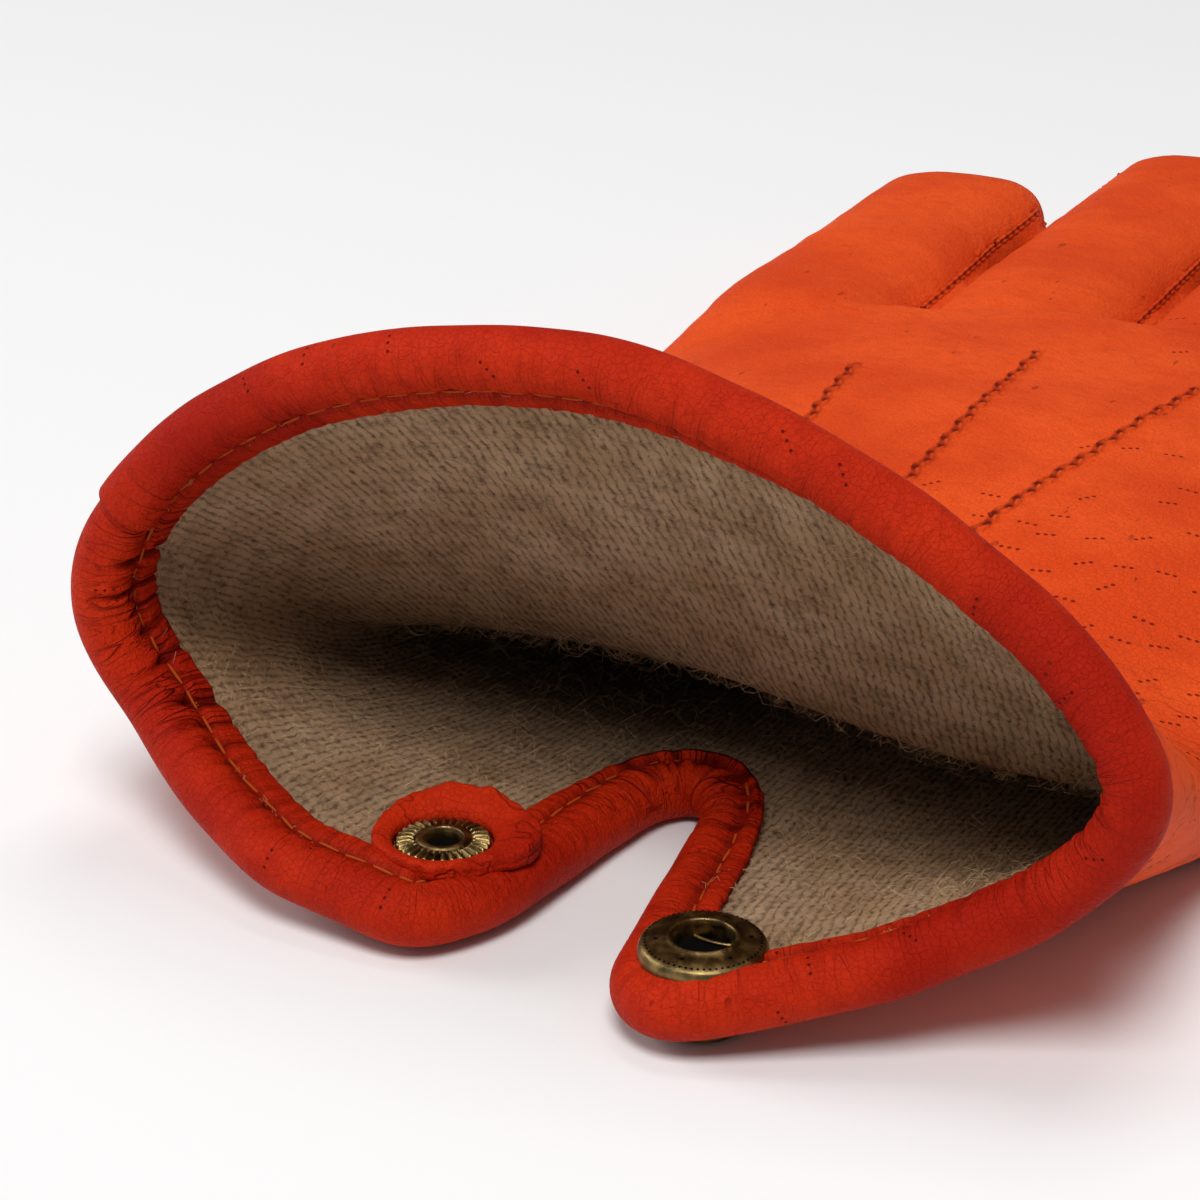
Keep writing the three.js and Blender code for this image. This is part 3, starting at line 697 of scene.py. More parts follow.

# %% [markdown]
# The skin is parted by asking each face where its middle lies: in front of the cuff's edge, in the vent, in the
# strip between two fingers, or outside the hand on the thumb's side. Before that, level cuts give the strips
# straight long edges, and afterwards the borders are smoothed along themselves, as a seam pulls them.

# %% A smooth line through given points, and a test for what it encloses
def flowing(points, count):
    points = np.asarray(points, float)
    knots = np.r_[0, np.cumsum(np.linalg.norm(np.diff(points, axis=0), axis=1) ** 0.5)]
    tangent = np.gradient(points, knots, axis=0)
    at = np.linspace(0, knots[-1], count)
    i = np.clip(np.searchsorted(knots, at, side="right") - 1, 0, len(knots) - 2)
    span = (knots[1:] - knots[:-1])[i][:, None]
    t = (at[:, None] - knots[i][:, None]) / span
    a, b = points[i], points[i + 1]
    da, db = tangent[i] * span, tangent[i + 1] * span
    return (a * (1 + 2 * t) * (1 - t) ** 2 + da * t * (1 - t) ** 2
            + b * t**2 * (3 - 2 * t) - db * t**2 * (1 - t))


def enclosed(x, y, outline):
    inside = np.zeros(np.shape(x), bool)
    for (x0, y0), (x1, y1) in zip(outline, np.roll(outline, -1, axis=0)):
        crosses = (y0 > y) != (y1 > y)
        edge = x0 + (y - y0) * (x1 - x0) / (y1 - y0 if y1 != y0 else 1)
        inside ^= crosses & (x < edge)
    return inside


vent_edge = flowing(VENT, 160)
vent_outline = np.vstack([vent_edge, [(-14.4, -40), (14, -40)]])

# %% The strips between two fingers
def finger_side(finger, side, y):
    root_x, root_y, tip_x, tip_y, width, tip_width = finger[:6]
    share = (y - root_y) / (tip_y - root_y)
    half = (width + (tip_width - width) * share) / 2
    return root_x + (tip_x - root_x) * share + side * (half - FOURCHETTE["deep"])


def in_strip(centres, a, b):
    x, y, z = centres.T
    near = crotch_y((a.root_x + b.root_x) / 2) - FOURCHETTE["behind"]
    between = (a.tip_x + a.tip_width / 2 + b.tip_x - b.tip_width / 2) / 2
    far = np.where(x < between, a.tip_y, b.tip_y) - FOURCHETTE["before_tip"]
    sides = (x > finger_side(a, 1, y)) & (x < finger_side(b, -1, y))
    return sides & (y > near) & (y < far) & (z > FOURCHETTE["low"]) & (z < FOURCHETTE["high"])


# %% Say which piece each face belongs to
STRIPS = {
    "fourchette_little_ring": ("little", "ring"),
    "fourchette_ring_middle": ("ring", "middle"),
    "fourchette_middle_index": ("middle", "index"),
}


def name_faces(centres):
    x, y, z = centres.T
    left, right, seam_left, seam_right, crown, floor, _ = smooth_table(HAND, y).T
    across = np.clip((2 * x - left - right) / (right - left), -1.2, 1.2)
    seam = (seam_left + seam_right) / 2 + (seam_right - seam_left) / 2 * across
    back = z > seam
    height = (z - seam) / np.where(back, crown - seam, seam - floor)
    full_across, full_up = fullness(y, across > 0, back)
    beyond = np.abs(across) ** full_across + np.abs(height) ** full_up
    names = np.full(len(x), "trank", dtype=object)
    names[(beyond > 1.06) & (x > 34) & (y > 45) & ((y < 118) | (x > 50.6))] = "thumb"
    for name, (a, b) in STRIPS.items():
        names[in_strip(centres, FINGERS[a], FINGERS[b])] = name
    turn = turn_at(x, y, back)
    names[(y < 60) & (y < rim_y(turn) + 1.4)] = "cut away"
    names[~back & (y < 42) & enclosed(x, y, vent_outline * (1.08, 1) + (0, 0.8))] = "cut away"
    return names


# %% Part the skin into its pieces
leather_skin = bmesh.new()
add_mesh(leather_skin, skin_mesh)
for level in (FOURCHETTE["low"], FOURCHETTE["high"]):
    leather_skin.faces.ensure_lookup_table()
    centres = np.array([face.calc_center_median() for face in leather_skin.faces])
    close = np.abs(centres[:, 2] - level) < 3 * VOXEL
    widened = centres * (1, 1, 0) + (0, 0, FOURCHETTE["low"] + 1)
    between = np.any([in_strip(widened, FINGERS[a], FINGERS[b]) for a, b in STRIPS.values()], axis=0)
    faces = [leather_skin.faces[i] for i in np.nonzero(close & between)[0]]
    edges = {edge for face in faces for edge in face.edges}
    verts = {vert for face in faces for vert in face.verts}
    bmesh.ops.bisect_plane(leather_skin, geom=[*faces, *edges, *verts], plane_co=(0, 0, level),
                           plane_no=(0, 0, 1))
    print("cut level", level, len(leather_skin.faces))

for vert in leather_skin.verts:
    swell = 0.4 * noise(vert.co / 17) + 0.16 * noise(vert.co / 5 + Vector((9, 2, 5)))
    vert.co += vert.normal * swell * min(vert.co.z / 3, 1)
    vert.co.z = max(vert.co.z, 0)
skin_tree = BVHTree.FromBMesh(leather_skin)

centres = np.array([face.calc_center_median() for face in leather_skin.faces])
piece_names = ["trank", "thumb", *STRIPS, "cut away"]
for face, name in zip(leather_skin.faces, name_faces(centres)):
    face.material_index = piece_names.index(name)

borders = {}
for edge in leather_skin.edges:
    if len({face.material_index for face in edge.link_faces}) > 1:
        for vert in edge.verts:
            borders.setdefault(vert, []).append(edge.other_vert(vert))
chains = {vert: others for vert, others in borders.items() if len(others) == 2}
for _ in range(14):
    moved = {vert: vert.co * 0.5 + (a.co + b.co) * 0.25 for vert, (a, b) in chains.items()}
    for vert, place in moved.items():
        vert.co = place

for index, name in enumerate(piece_names[:-1]):
    part = leather_skin.copy()
    bmesh.ops.delete(part, geom=[f for f in part.faces if f.material_index != index], context="FACES")
    for face in part.faces:
        face.material_index = 0
    piece = finish_piece("leather_" + name, part, hand_leather, "leather", name)
    add_wall(piece, LEATHER)
    # In the valley beside the thumb the wall would otherwise reach through the floor.
    for vert in apply_modifiers(piece).vertices:
        vert.co.z = max(vert.co.z, 0)
leather_skin.free()

# %% [markdown]
# ## Seams and points
#
# The three lines on the back are points: the leather is pinched into a ridge and sewn through, and each stitch
# nips the ridge and leaves a dark pit. The seams along the fingers and the side are the same ridge made smaller,
# so one sweep serves them all. It lays a low ridge along a line on the skin, narrow and low at every stitch.

# %% Sew a ridge along a line on the skin
RIDGE_STEP = 0.34
SEAM_HEIGHT = 8  # of the seams round the fingertips and the thumb
POINT = {"width": 2.0, "tall": 0.42, "pitch": 2.5, "zigzag": 0.3}
STRIP_SEAM = {"width": 1.2, "tall": 0.24, "pitch": 2.2, "sides": 9}
SIDE_SEAM = {"width": 1.6, "tall": 0.4, "pitch": 2.4, "sides": 9}
TIP_SEAM = {"width": 1.3, "tall": 0.3, "pitch": 2.3, "sides": 9}
THUMB_SEAM = {"width": 1.4, "tall": 0.3, "pitch": 2.3, "sides": 9}


def on_skin(points):
    """The nearest places on the leather's skin, and the way out there."""
    found = [skin_tree.find_nearest(Vector(p)) for p in points]
    return np.array([tuple(f[0]) for f in found]), np.array([tuple(f[1]) for f in found])


def ridge(points, width, tall, pitch, zigzag=0.0, sides=13):
    """Two lips with a furrow between them and a pit at each stitch, whose darkness is painted shade; pitch is from
    stitch to stitch.
    """
    length = distances(np.asarray(points, float))[-1]
    line, out = on_skin(even(points, max(int(length / RIDGE_STEP), 8)))
    line, out = smoothed(line, 5), unit(smoothed(out, 5))
    ahead = unit(np.gradient(line, axis=0))
    side = unit(np.cross(ahead, out))
    at = distances(line)
    wander = np.array([noise(Vector((a / 1.1, line[0, 0], 0))) for a in at])
    at_stitch = np.mod(at + 0.3 * wander, pitch) - pitch / 2
    nip = bell(at_stitch, 0.2 * pitch)
    ends = ramp(np.minimum(at, at[-1] - at), 0, 2)
    across = np.linspace(-1, 1, sides)
    lips = bell(np.abs(across) - 0.44, 0.22)
    furrow = bell(across, 0.25)
    high = tall * (1 - 0.75 * nip + 0.35 * wander) * ends
    lift = 0.04 + high[:, None] * lips - 0.16 * np.abs(across) ** 6
    sway = zigzag * np.sin(math.pi * at / pitch)
    half = width / 2 * (1 - 0.12 * nip)
    place = half[:, None] * across + sway[:, None] * (1 - across**2)
    rings = line[:, None] + out[:, None] * lift[..., None] + side[:, None] * place[..., None]
    low = (half[:, None] * np.array([0.5, -0.5]))[..., None]
    rings = np.concatenate([rings, line[:, None] - out[:, None] * 0.5 + side[:, None] * low], axis=1)
    rings[..., 2] = np.maximum(rings[..., 2], 0.02)
    # Painted shade: dark along the furrow and darkest in the pit at each stitch.
    pit = nip[:, None] * np.exp(-((across / 0.6) ** 4))
    shade = np.zeros(rings.shape[:2])
    shade[:, :sides] = furrow * (0.55 + 0.3 * nip[:, None]) + 0.95 * pit
    shade *= np.clip(ends * 1.5, 0, 1)[:, None]
    sewn = net(rings, shade=np.clip(shade, 0, 0.95))
    close_ends(sewn)
    return sewn


# %% The three points on the back
ridges = []
for (x0, y0), (x1, y1) in POINTS:
    ys = np.linspace(y0, y1, 40)
    xs = x0 + (x1 - x0) * (ys - y0) / (y1 - y0)
    ridges.append(ridge(skin(turn_at(xs, ys, True), ys), **POINT))
finish_piece("points", gather(ridges), hand_leather, "leather")

# %% The seams of the fingers, the side and the thumb
def finger_line(finger, side, y0, y1, z):
    ys = np.linspace(y0, y1, 40)
    return [(finger_side(finger, side, y) + side * FOURCHETTE["deep"] * 0.9, y, z) for y in ys]


def tip_line(finger, left_y, right_y, z):
    """From a place on a finger's left side round its tip to its right side."""
    root_x, root_y, tip_x, tip_y, width, tip_width = finger[:6]
    line = np.array([tip_x - root_x, tip_y - root_y])
    ahead = line / np.linalg.norm(line)
    beside = np.array([ahead[1], -ahead[0]])
    start = [np.array([root_x, root_y]) + ahead * (y - root_y) for y in (left_y, right_y)]
    end = np.array([tip_x, tip_y]) - ahead * TIP_ROUND
    turn = np.radians(np.linspace(-90, 90, 30))
    arc = [end + ahead * TIP_ROUND * math.cos(t) + beside * tip_width / 2 * math.sin(t) for t in turn]
    sides = [start[0] - beside * width / 2, *arc, start[1] + beside * width / 2]
    return [(x, y, z) for x, y in sides]


def strip_end(finger):
    return finger.tip_y - FOURCHETTE["before_tip"]


ridges = []
for a, b in STRIPS.values():
    first, second = FINGERS[a], FINGERS[b]
    crotch = float(crotch_y((first.root_x + second.root_x) / 2)) - 2.5
    for level in (FOURCHETTE["high"], FOURCHETTE["low"]):
        for finger, hand_side in ((first, 1), (second, -1)):
            line = finger_line(finger, hand_side, crotch, strip_end(finger), level)
            ridges.append(ridge(line, **STRIP_SEAM))
little = FINGERS["little"]
side = [tuple(p) for p in skin(0, np.linspace(17, 150, 90))]
ridges.append(ridge(side + tip_line(little, 155, strip_end(little), SEAM_HEIGHT), **SIDE_SEAM))
for name in ("ring", "middle", "index"):
    finger = FINGERS[name]
    ridges.append(ridge(tip_line(finger, strip_end(finger), strip_end(finger), SEAM_HEIGHT), **TIP_SEAM))
ridges.append(ridge(tip_line(THUMB, 100, 84, SEAM_HEIGHT), **THUMB_SEAM))
finish_piece("seams", gather(ridges), hand_leather, "leather")

# %% [markdown]
# ## The roll round the cuff
#
# The cuff is finished with a strip of leather that is rolled over a soft core and sewn down inside, so what shows
# is a padded roll, a groove with the thread in it and a narrow flat flange. One closed section is swept along
# the edge, down one side of the vent and up the other. The strip puckers where it is eased round a bend.

# %% The line that the roll follows
ROLL_STEP = 0.32


def roll_line():
    first = np.arange(LAP_TURN, FLAP_TURNS[0] - 3, 1.5)
    last = np.arange(FLAP_TURNS[1] + 3, 360 + LAP_TURN + 3, 1.5)
    vent_turns = turn_at(vent_edge[:, 0], vent_edge[:, 1], False)
    turns = np.concatenate([first, vent_turns, last])
    ys = np.concatenate([rim_y(first), vent_edge[:, 1], rim_y(last)])
    points, out = wall(turns, ys, ROLL_INSET), skin_normal(turns, ys)
    points[:, 2] = np.maximum(points[:, 2], ROLL_RADIUS)
    line = smoothed(even(np.hstack([points, out]), int(distances(points)[-1] / ROLL_STEP)), 60)
    line[:, 2] = np.maximum(line[:, 2], ROLL_RADIUS)
    return line[:, :3], unit(line[:, 3:])


roll_points, roll_out = roll_line()
roll_ahead = unit(np.gradient(roll_points, axis=0))
roll_out = unit(roll_out - roll_ahead * np.sum(roll_out * roll_ahead, 1)[:, None])
roll_mouth = np.cross(roll_ahead, roll_out)
roll_at = distances(roll_points)
bend = averaged(np.sum(np.gradient(roll_ahead, roll_at, axis=0) * roll_mouth, 1), 25)
print("roll length, mm:", round(roll_at[-1], 1), "tightest bend:", round(1 / np.abs(bend).max(), 1))

# %% The section of the roll, its groove and its flange
GROOVE_TURN = -128  # where the thread lies, round the roll from the way to the mouth
ROLL_PROFILE_POINTS = 44


def roll_section(reach, radius):
    turn = np.radians(np.linspace(168, GROOVE_TURN, ROLL_PROFILE_POINTS))
    arc = np.stack([radius * np.sin(turn), radius * np.cos(turn)], 1)
    inner = FLANGE_TOP - FLANGE
    flat = np.array([
        (-2.0, -2.15), (-2.12, -2.45), (inner - 0.22, -2.85), (inner - 0.26, -3.3), (inner - 0.2, -reach + 0.55),
        (inner - 0.1, -reach + 0.2), (inner + 0.1, -reach), (FLANGE_TOP - 0.1, -reach - 0.05),
        (FLANGE_TOP, -reach + 0.15), (FLANGE_TOP, -2.6), (-0.6, -2.3),
    ])
    return np.vstack([arc, flat]), np.r_[turn, np.full(len(flat), np.nan)]


# %% Where the strip puckers, and how strongly
def flange_reach(place):
    tight = np.where(bend[place] < -1e-3, 0.75 / np.abs(bend[place]), 99)
    near_apex = 1.25 * bell(roll_at[place] - vent_apex, 13)
    widest = FLANGE_REACH - 0.1 - 0.016 * roll_points[place, 0] - near_apex
    return np.clip(np.minimum(widest, tight), ROLL_RADIUS + 0.35, 9)


vent_apex = roll_at[np.argmax(np.where(np.abs(roll_points[:, 0]) < 14, roll_points[:, 1], -99) *
                              (roll_points[:, 2] < 12))]
left_side = (roll_points[:, 0] < -44) & (roll_points[:, 2] < 36)
right_side = (roll_points[:, 0] > 40) & (roll_points[:, 2] < 34)
pucker_strength = 0.28 + 1.0 * left_side + 0.4 * right_side
pucker_strength += bell(roll_at - vent_apex, 11)
pucker_strength = averaged(pucker_strength, 30)

puckers = []
place = 1.0
while place < roll_at[-1]:
    near_apex = bell(place - vent_apex, 10)
    strength = float(np.interp(place, roll_at, pucker_strength))
    puckers.append({
        "at": place, "width": dice.uniform(0.28, 0.7), "depth": strength * dice.uniform(0.25, 0.85),
        "slant": dice.uniform(-1.1, 1.1), "fade": dice.uniform(0.8, 2.6),
    })
    place += dice.uniform(2.2, 5.2) * (1 - 0.62 * near_apex)
print(len(puckers), "puckers")


def pucker_depth(at, from_groove):
    """How far the strip is pressed in at a place along the roll, this far round it from the groove."""
    depth = np.zeros(np.broadcast(at, from_groove).shape)
    for p in puckers:
        close = np.abs(at - p["at"]) < 5
        if not close.any():
            continue
        across = (at - p["at"] - p["slant"] * from_groove * 0.5) / p["width"]
        fade = np.clip(1 - from_groove / p["fade"], 0, 1) ** 0.8
        depth += p["depth"] * bell(across, 1) * fade
        depth -= 0.3 * p["depth"] * bell(np.abs(across) - 2.1, 1) * fade
    return depth


# %% Sweep the section and sew it
def lumps(points, size, amount, seed):
    offset = Vector((seed, 2.3 * seed, 0.7 * seed))
    return np.array([noise(Vector(p) / size + offset) for p in points]) * amount


swell = 1 + 0.1 * bell(roll_at, 3.5) - 0.12 * bell(roll_at[-1] - roll_at, 3) - 0.15 * bell(roll_at - vent_apex + 7, 9)
rings = []
for k in range(len(roll_points)):
    ragged = 0.22 * noise(Vector((roll_at[k] / 1.3, 3, 0)))
    rings.append(roll_section(flange_reach(k) + ragged, ROLL_RADIUS * swell[k]))
sections, turn = [np.array(both) for both in zip(*rings)]
from_groove = np.where(np.isnan(turn), 0, turn - math.radians(GROOVE_TURN))
depth = pucker_depth(roll_at[:, None], from_groove)
past_arc = np.arange(sections.shape[1]) - ROLL_PROFILE_POINTS
length = np.linalg.norm(sections, axis=2, keepdims=True)
sections -= np.where((past_arc < 0)[None, :, None], sections / length, 0) * depth[..., None]
ripple = np.where((past_arc >= 2) & (past_arc < 8), 1.0, 0)
calm = 1 - 0.7 * bell(roll_at - vent_apex, 14)
sections[..., 0] += ripple * (depth * 0.55 * calm[:, None])
roll_rings = roll_points[:, None] + roll_out[:, None] * sections[..., :1] + roll_mouth[:, None] * sections[..., 1:]
bumps = lumps(roll_rings.reshape(-1, 3), 7, 0.22, 1).reshape(depth.shape)
roll_rings = roll_rings + bumps[..., None] * roll_out[:, None]
roll_rings[..., 2] = np.maximum(roll_rings[..., 2], 0)
# The pull layer marks where the binding's creases are bumped in and painted dark as shade. The shade layer is painted
# shade in the puckers and the groove, and makes the flange's edge darker.
pull = pucker_strength[:, None] * np.clip(1.15 - from_groove / 2.6, 0.12, 1)
shade = np.clip(depth * 1.2 + 0.6 * bell(past_arc, 1.6) + 0.35 * bell(past_arc - 6.5, 0.8), 0, 0.8)
shape = net(roll_rings, shade=shade, pull=np.clip(pull, 0, 1))
close_ends(shape)
binding = finish_piece("cuff_roll", shape, binding_leather, "binding_leather", "cuff_binding")

# %% The thread in the groove
STITCH = 2.4
STITCH_PITCH = 3.05
THREAD_RADIUS = 0.15
GROOVE_AT = (-2.08, -2.3)  # outwards and towards the mouth from the roll's middle


def stitch(shape, start, end, radius, out):
    middle = (start + end) / 2
    ahead = (end - start).normalized()
    side = ahead.cross(out).normalized()
    up = side.cross(ahead)
    made = bmesh.ops.create_uvsphere(shape, u_segments=8, v_segments=6, radius=1)["verts"]
    half = (end - start).length / 2
    for vert in made:
        x, y, z = vert.co
        bulge = (1 - abs(z) ** 3) ** 0.33 / max(math.sqrt(1 - z * z), 0.2) if abs(z) < 0.99 else 1
        bulge = min(bulge, 1.6)
        vert.co = middle + side * (x * radius * bulge) + up * (y * radius * bulge) + ahead * (z * half)


shape = bmesh.new()
groove = roll_points + roll_out * GROOVE_AT[0] + roll_mouth * GROOVE_AT[1]
groove = groove + roll_out * (pucker_depth(roll_at, np.zeros(len(roll_at))) * 0.7)[:, None]
start = 1.2
while start + STITCH < roll_at[-1] - 1:
    ends = [Vector([np.interp(at, roll_at, groove[:, axis]) for axis in range(3)]) for at in (start, start + STITCH)]
    k = int(np.searchsorted(roll_at, start + STITCH / 2))
    lean = Vector(roll_mouth[k]) * dice.uniform(-0.12, 0.12)
    stitch(shape, ends[0] + lean, ends[1] - lean, THREAD_RADIUS * dice.uniform(0.9, 1.1), Vector(roll_out[k]))
    start += STITCH_PITCH * dice.uniform(0.94, 1.06)
finish_piece("cuff_thread", shape, thread, "binding_leather")

# %% [markdown]
# ## The lining
#
# Inside is a knitted tube that follows the leather and ends under the flange. It is a rolled grid whose map
# counts ribs one way and rows of loops the other, so that the stitches follow the cloth into the hand. Fibres
# stand up from it, which is what makes wool look soft at its edge.

# %% The knitted tube
SAG = 6  # how far the lining hangs from the back on the thumb side, where it is loose
LINING_AROUND = 300
LINING_ROWS = 92
KNIT_WALL = 0.9
LINING_TOP = LEATHER + GAP + LINING  # over the surface that the glove lies on


def in_vent(points):
    x, y, z = points.T
    return (z < 9) & enclosed(x, y, vent_outline * (1.13, 1) + (0.2, 2.5))


lining_turns = np.arange(0, 360, 1.2)
rings = []
for share in np.linspace(0, 1, LINING_ROWS):
    ys = (rim_y(lining_turns) + 2.0) * (1 - share) + LINING_END * share
    rings.append(even(wall(lining_turns, ys, LINING_TOP), LINING_AROUND, closed=True))
rings = np.array(rings)
x, y, z = np.moveaxis(rings, -1, 0)
soft = lumps(rings.reshape(-1, 3), 16, 1.0, 5).reshape(z.shape) * ramp(y, 18, 20)
z += np.where(z > 12, soft, 0)
z -= np.where(z > 11, SAG * bell(x - 24, 22) * bell(y - 40, 13) * ramp(z, 9, 12), 0)
flatter = 1 - 0.62 * eased(ramp(y, 28, 34))
z[:] = LINING_TOP + (z - LINING_TOP) * flatter
x *= 1 - 0.1 * (1 - flatter)
# Painted shade on the lining from about 27 mm into the hand onwards, strongest left of the middle.
darkest = 0.1 + 0.78 * bell(x + 22, 26)
shape = net(rings, shade=darkest * eased(ramp(y, 27, 32)))
centres = np.array([face.calc_center_median() for face in shape.faces])
doomed = [face for face, gone in zip(shape.faces, in_vent(centres)) if gone]
bmesh.ops.delete(shape, geom=doomed, context="FACES")
crown_face = max(shape.faces, key=lambda face: face.calc_center_median().z)
if crown_face.normal.z > 0:
    bmesh.ops.reverse_faces(shape, faces=shape.faces)
knitted = finish_piece("lining_knit", shape, wool, "knit", "lining")
add_wall(knitted, KNIT_WALL)

# %% Fibres that stand up from the wool
FIBRES = 9000
FIBRE_RADIUS = 0.026
FIBRE_LENGTH = (0.7, 3.0)
luck = np.random.default_rng(11)
rows, columns = rings.shape[:2]
j = ((rows - 2) * luck.random(2 * FIBRES) ** 1.7).astype(int)
i = luck.integers(0, columns, 2 * FIBRES)
roots = rings[j, i]
inward = unit(np.cross(rings[j + 1, i] - roots, rings[j, (i + 1) % columns] - roots))
middle = np.stack([0 * roots[:, 0], roots[:, 1], np.where(roots[:, 1] < 30, 22, 9)], 1)
inward *= np.sign(np.sum(inward * (middle - roots), axis=1))[:, None]
kept = ~in_vent(roots)
roots, inward = roots[kept][:FIBRES], inward[kept][:FIBRES]
lean = luck.uniform(-1, 1, roots.shape)
lean = unit(lean - inward * np.sum(lean * inward, axis=1)[:, None])
lean[:, 1] = np.where((roots[:, 1] < 16) & (lean[:, 1] < 0), -lean[:, 1], lean[:, 1])
curl = np.cross(lean, inward) * luck.uniform(-0.8, 0.8, (len(roots), 1))
length = luck.uniform(*FIBRE_LENGTH, (len(roots), 1)) * np.where(roots[:, 1:2] < 16, 0.55, 1)
tips = roots + (inward * luck.uniform(0.1, 0.6, (len(roots), 1)) + lean) * length
bends = (roots + tips) / 2 + (inward * 0.25 + curl * 0.4) * length

fibre_curve = bpy.data.curves.new("fibres", "CURVE")
fibre_curve.dimensions = "3D"
fibre_curve.bevel_depth = FIBRE_RADIUS
fibre_curve.bevel_resolution = 0
for points in np.stack([roots, bends, tips], axis=1):
    hair = fibre_curve.splines.new("POLY")
    hair.points.add(2)
    for point, at, thick in zip(hair.points, points, (1, 0.9, 0.4)):
        point.co = (*at, 1)
        point.radius = thick
hairs = bpy.data.objects.new("hairs", fibre_curve)
scene = bpy.context.scene
scene.collection.objects.link(hairs)
hair_mesh = bpy.data.meshes.new_from_object(hairs)
bpy.data.objects.remove(hairs)
shape = bmesh.new()
add_mesh(shape, hair_mesh)
finish_piece("lining_fibres", shape, fibre, "knit")

# %% [markdown]
# ## The snap
#
# Half of the press snap is a fluted eyelet in a keyhole patch of leather, which holds the stud under the flap.
# The other half is a spring socket over a plain cap. Each metal part is turned: a profile goes once round its axis,
# and the flutes are a wave added on the way. The ring of punched dots is small balls in the black of painted shade,
# flattened and sunk in.

# %% Turn a profile round an upright axis
def turned(profile, at, around, wave=None):
    angle = np.linspace(0, 2 * math.pi, around, endpoint=False)
    rings = []
    for radius, height in profile:
        r = np.full(around, float(radius))
        z = np.full(around, float(height))
        if wave:
            r, z = wave(angle, r, z)
        rings.append(np.stack([at.x + r * np.cos(angle), at.y + r * np.sin(angle), z], 1))
    return np.array(rings)


def turned_piece(name, rings, material, slot, *nodes):
    rings = np.concatenate([rings, rings[:1]])
    shape = net(rings)
    bmesh.ops.remove_doubles(shape, verts=shape.verts, dist=2e-3)
    bmesh.ops.recalc_face_normals(shape, faces=shape.faces)
    return finish_piece(name, shape, material, slot, *nodes)


def rounded(profile):
    """Cut the corners of a profile twice, so that its edges catch the light."""
    for _ in range(2):
        cut = [profile[0]]
        for a, b in zip(profile, profile[1:]):
            cut += [tuple(0.8 * np.array(a) + 0.2 * np.array(b)), tuple(0.2 * np.array(a) + 0.8 * np.array(b))]
        profile = cut + [profile[-1]]
    return profile


def heights(node):
    low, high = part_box(node)
    return low[2] / MM, high[2] / MM


# %% The eyelet and its patch
FLUTES = 30
tube_foot, eyelet_top = heights("snap_eyelet")
seat = eyelet_top - 0.6


def fluted(angle, r, z):
    on_slope = ramp(r, 2.6, 0.4) * ramp(-r, -4.5, 0.25) * (z > seat + 0.3)
    return r, z + 0.2 * on_slope * np.cos(FLUTES * angle)


profile = rounded([
    (1.75, tube_foot), (2.1, tube_foot), (2.1, seat), (4.1, seat), (4.45, seat + 0.25), (4.35, seat + 0.5),
    (3.7, seat + 0.62), (2.8, seat + 0.62), (2.55, seat + 0.66), (2.35, seat + 0.84), (2.1, seat + 0.92),
    (1.88, seat + 0.82), (1.75, seat + 0.4),
])
turned_piece("eyelet", turned(profile, STUD_AT, 360, fluted), snap_brass, "antique_brass", "snap_eyelet")


def disc(shape, at, radius, height):
    made = bmesh.ops.create_circle(shape, cap_ends=True, segments=48, radius=radius)["verts"]
    bmesh.ops.translate(shape, verts=made, vec=at + Vector((0, 0, height)))


patch_low, patch_high = heights("snap_tab")
PATCH = {"radius": 7, "shift": 0.8, "lobe": 4.2, "lobe_x": 4.4, "lobe_y": 2.2, "hole": 4.7}


def patch_edge(angle):
    """How far the outline of the two discs is from the eyelet's axis."""
    def reach(x, y, radius):
        along = x * np.cos(angle) + y * np.sin(angle)
        inside = radius**2 - (x**2 + y**2 - along**2)
        return along + np.sqrt(np.maximum(inside, 0))

    ring = reach(0, PATCH["shift"], PATCH["radius"])
    lobe = reach(PATCH["lobe_x"], PATCH["lobe_y"], PATCH["lobe"])
    return np.maximum(ring, lobe)


angle = np.linspace(0, 2 * math.pi, 240, endpoint=False)
edge = patch_edge(angle)
edge = np.convolve(np.r_[edge[-6:], edge, edge[:6]], np.ones(13) / 13, mode="valid")
edge = edge + 0.12 * np.array([noise(Vector((math.cos(a) * 9, math.sin(a) * 9, 0))) for a in angle])
wrinkle = np.array([noise(Vector((math.cos(a) * 5, math.sin(a) * 5, 4))) for a in angle])
PATCH_PROFILE = [  # from the hole to the edge, and up from the patch's foot
    (0, 0), (0, 0.5), (0.03, 0.72), (0.1, 0.86), (0.25, 0.98), (0.45, 1.08), (0.65, 1.12), (0.82, 1.1), (0.92, 1.02),
    (0.98, 0.9), (1, 0.75), (0.995, 0.5), (0.97, 0.44), (1.0, 0.36), (0.99, 0.05), (0.9, 0),
]
rings = []
for share, height in PATCH_PROFILE:
    r = PATCH["hole"] + (edge - PATCH["hole"]) * share
    z = patch_low + (patch_high - patch_low) * height + (0.5 * wrinkle * share if height > 0.8 else 0)
    z = z + (0.5 + 1.5 * share * np.maximum(np.sin(angle), 0)) * min(height * 1.2, 1)
    rings.append(np.stack([STUD_AT.x + r * np.cos(angle), STUD_AT.y + r * np.sin(angle), z], 1))
turned_piece("snap_patch", np.array(rings), patch_leather, "binding_leather", "snap_tab")

# %% The socket with its beads and springs
socket_foot, socket_top = heights("snap_socket")
profile = rounded([
    (2.75, socket_foot + 0.1), (5.3, socket_foot), (5.7, socket_foot + 0.4), (5.72, socket_foot + 1.3),
    (5.42, socket_foot + 1.92), (4.5, socket_foot + 2.25), (3.7, socket_foot + 2.3), (3.35, socket_foot + 2.42),
    (3.08, socket_top), (2.82, socket_top - 0.08), (2.66, socket_top - 0.6), (2.75, socket_foot + 0.6),
])
turned_piece("socket", turned(profile, SOCKET_AT, 192), snap_brass, "antique_brass", "snap_socket")
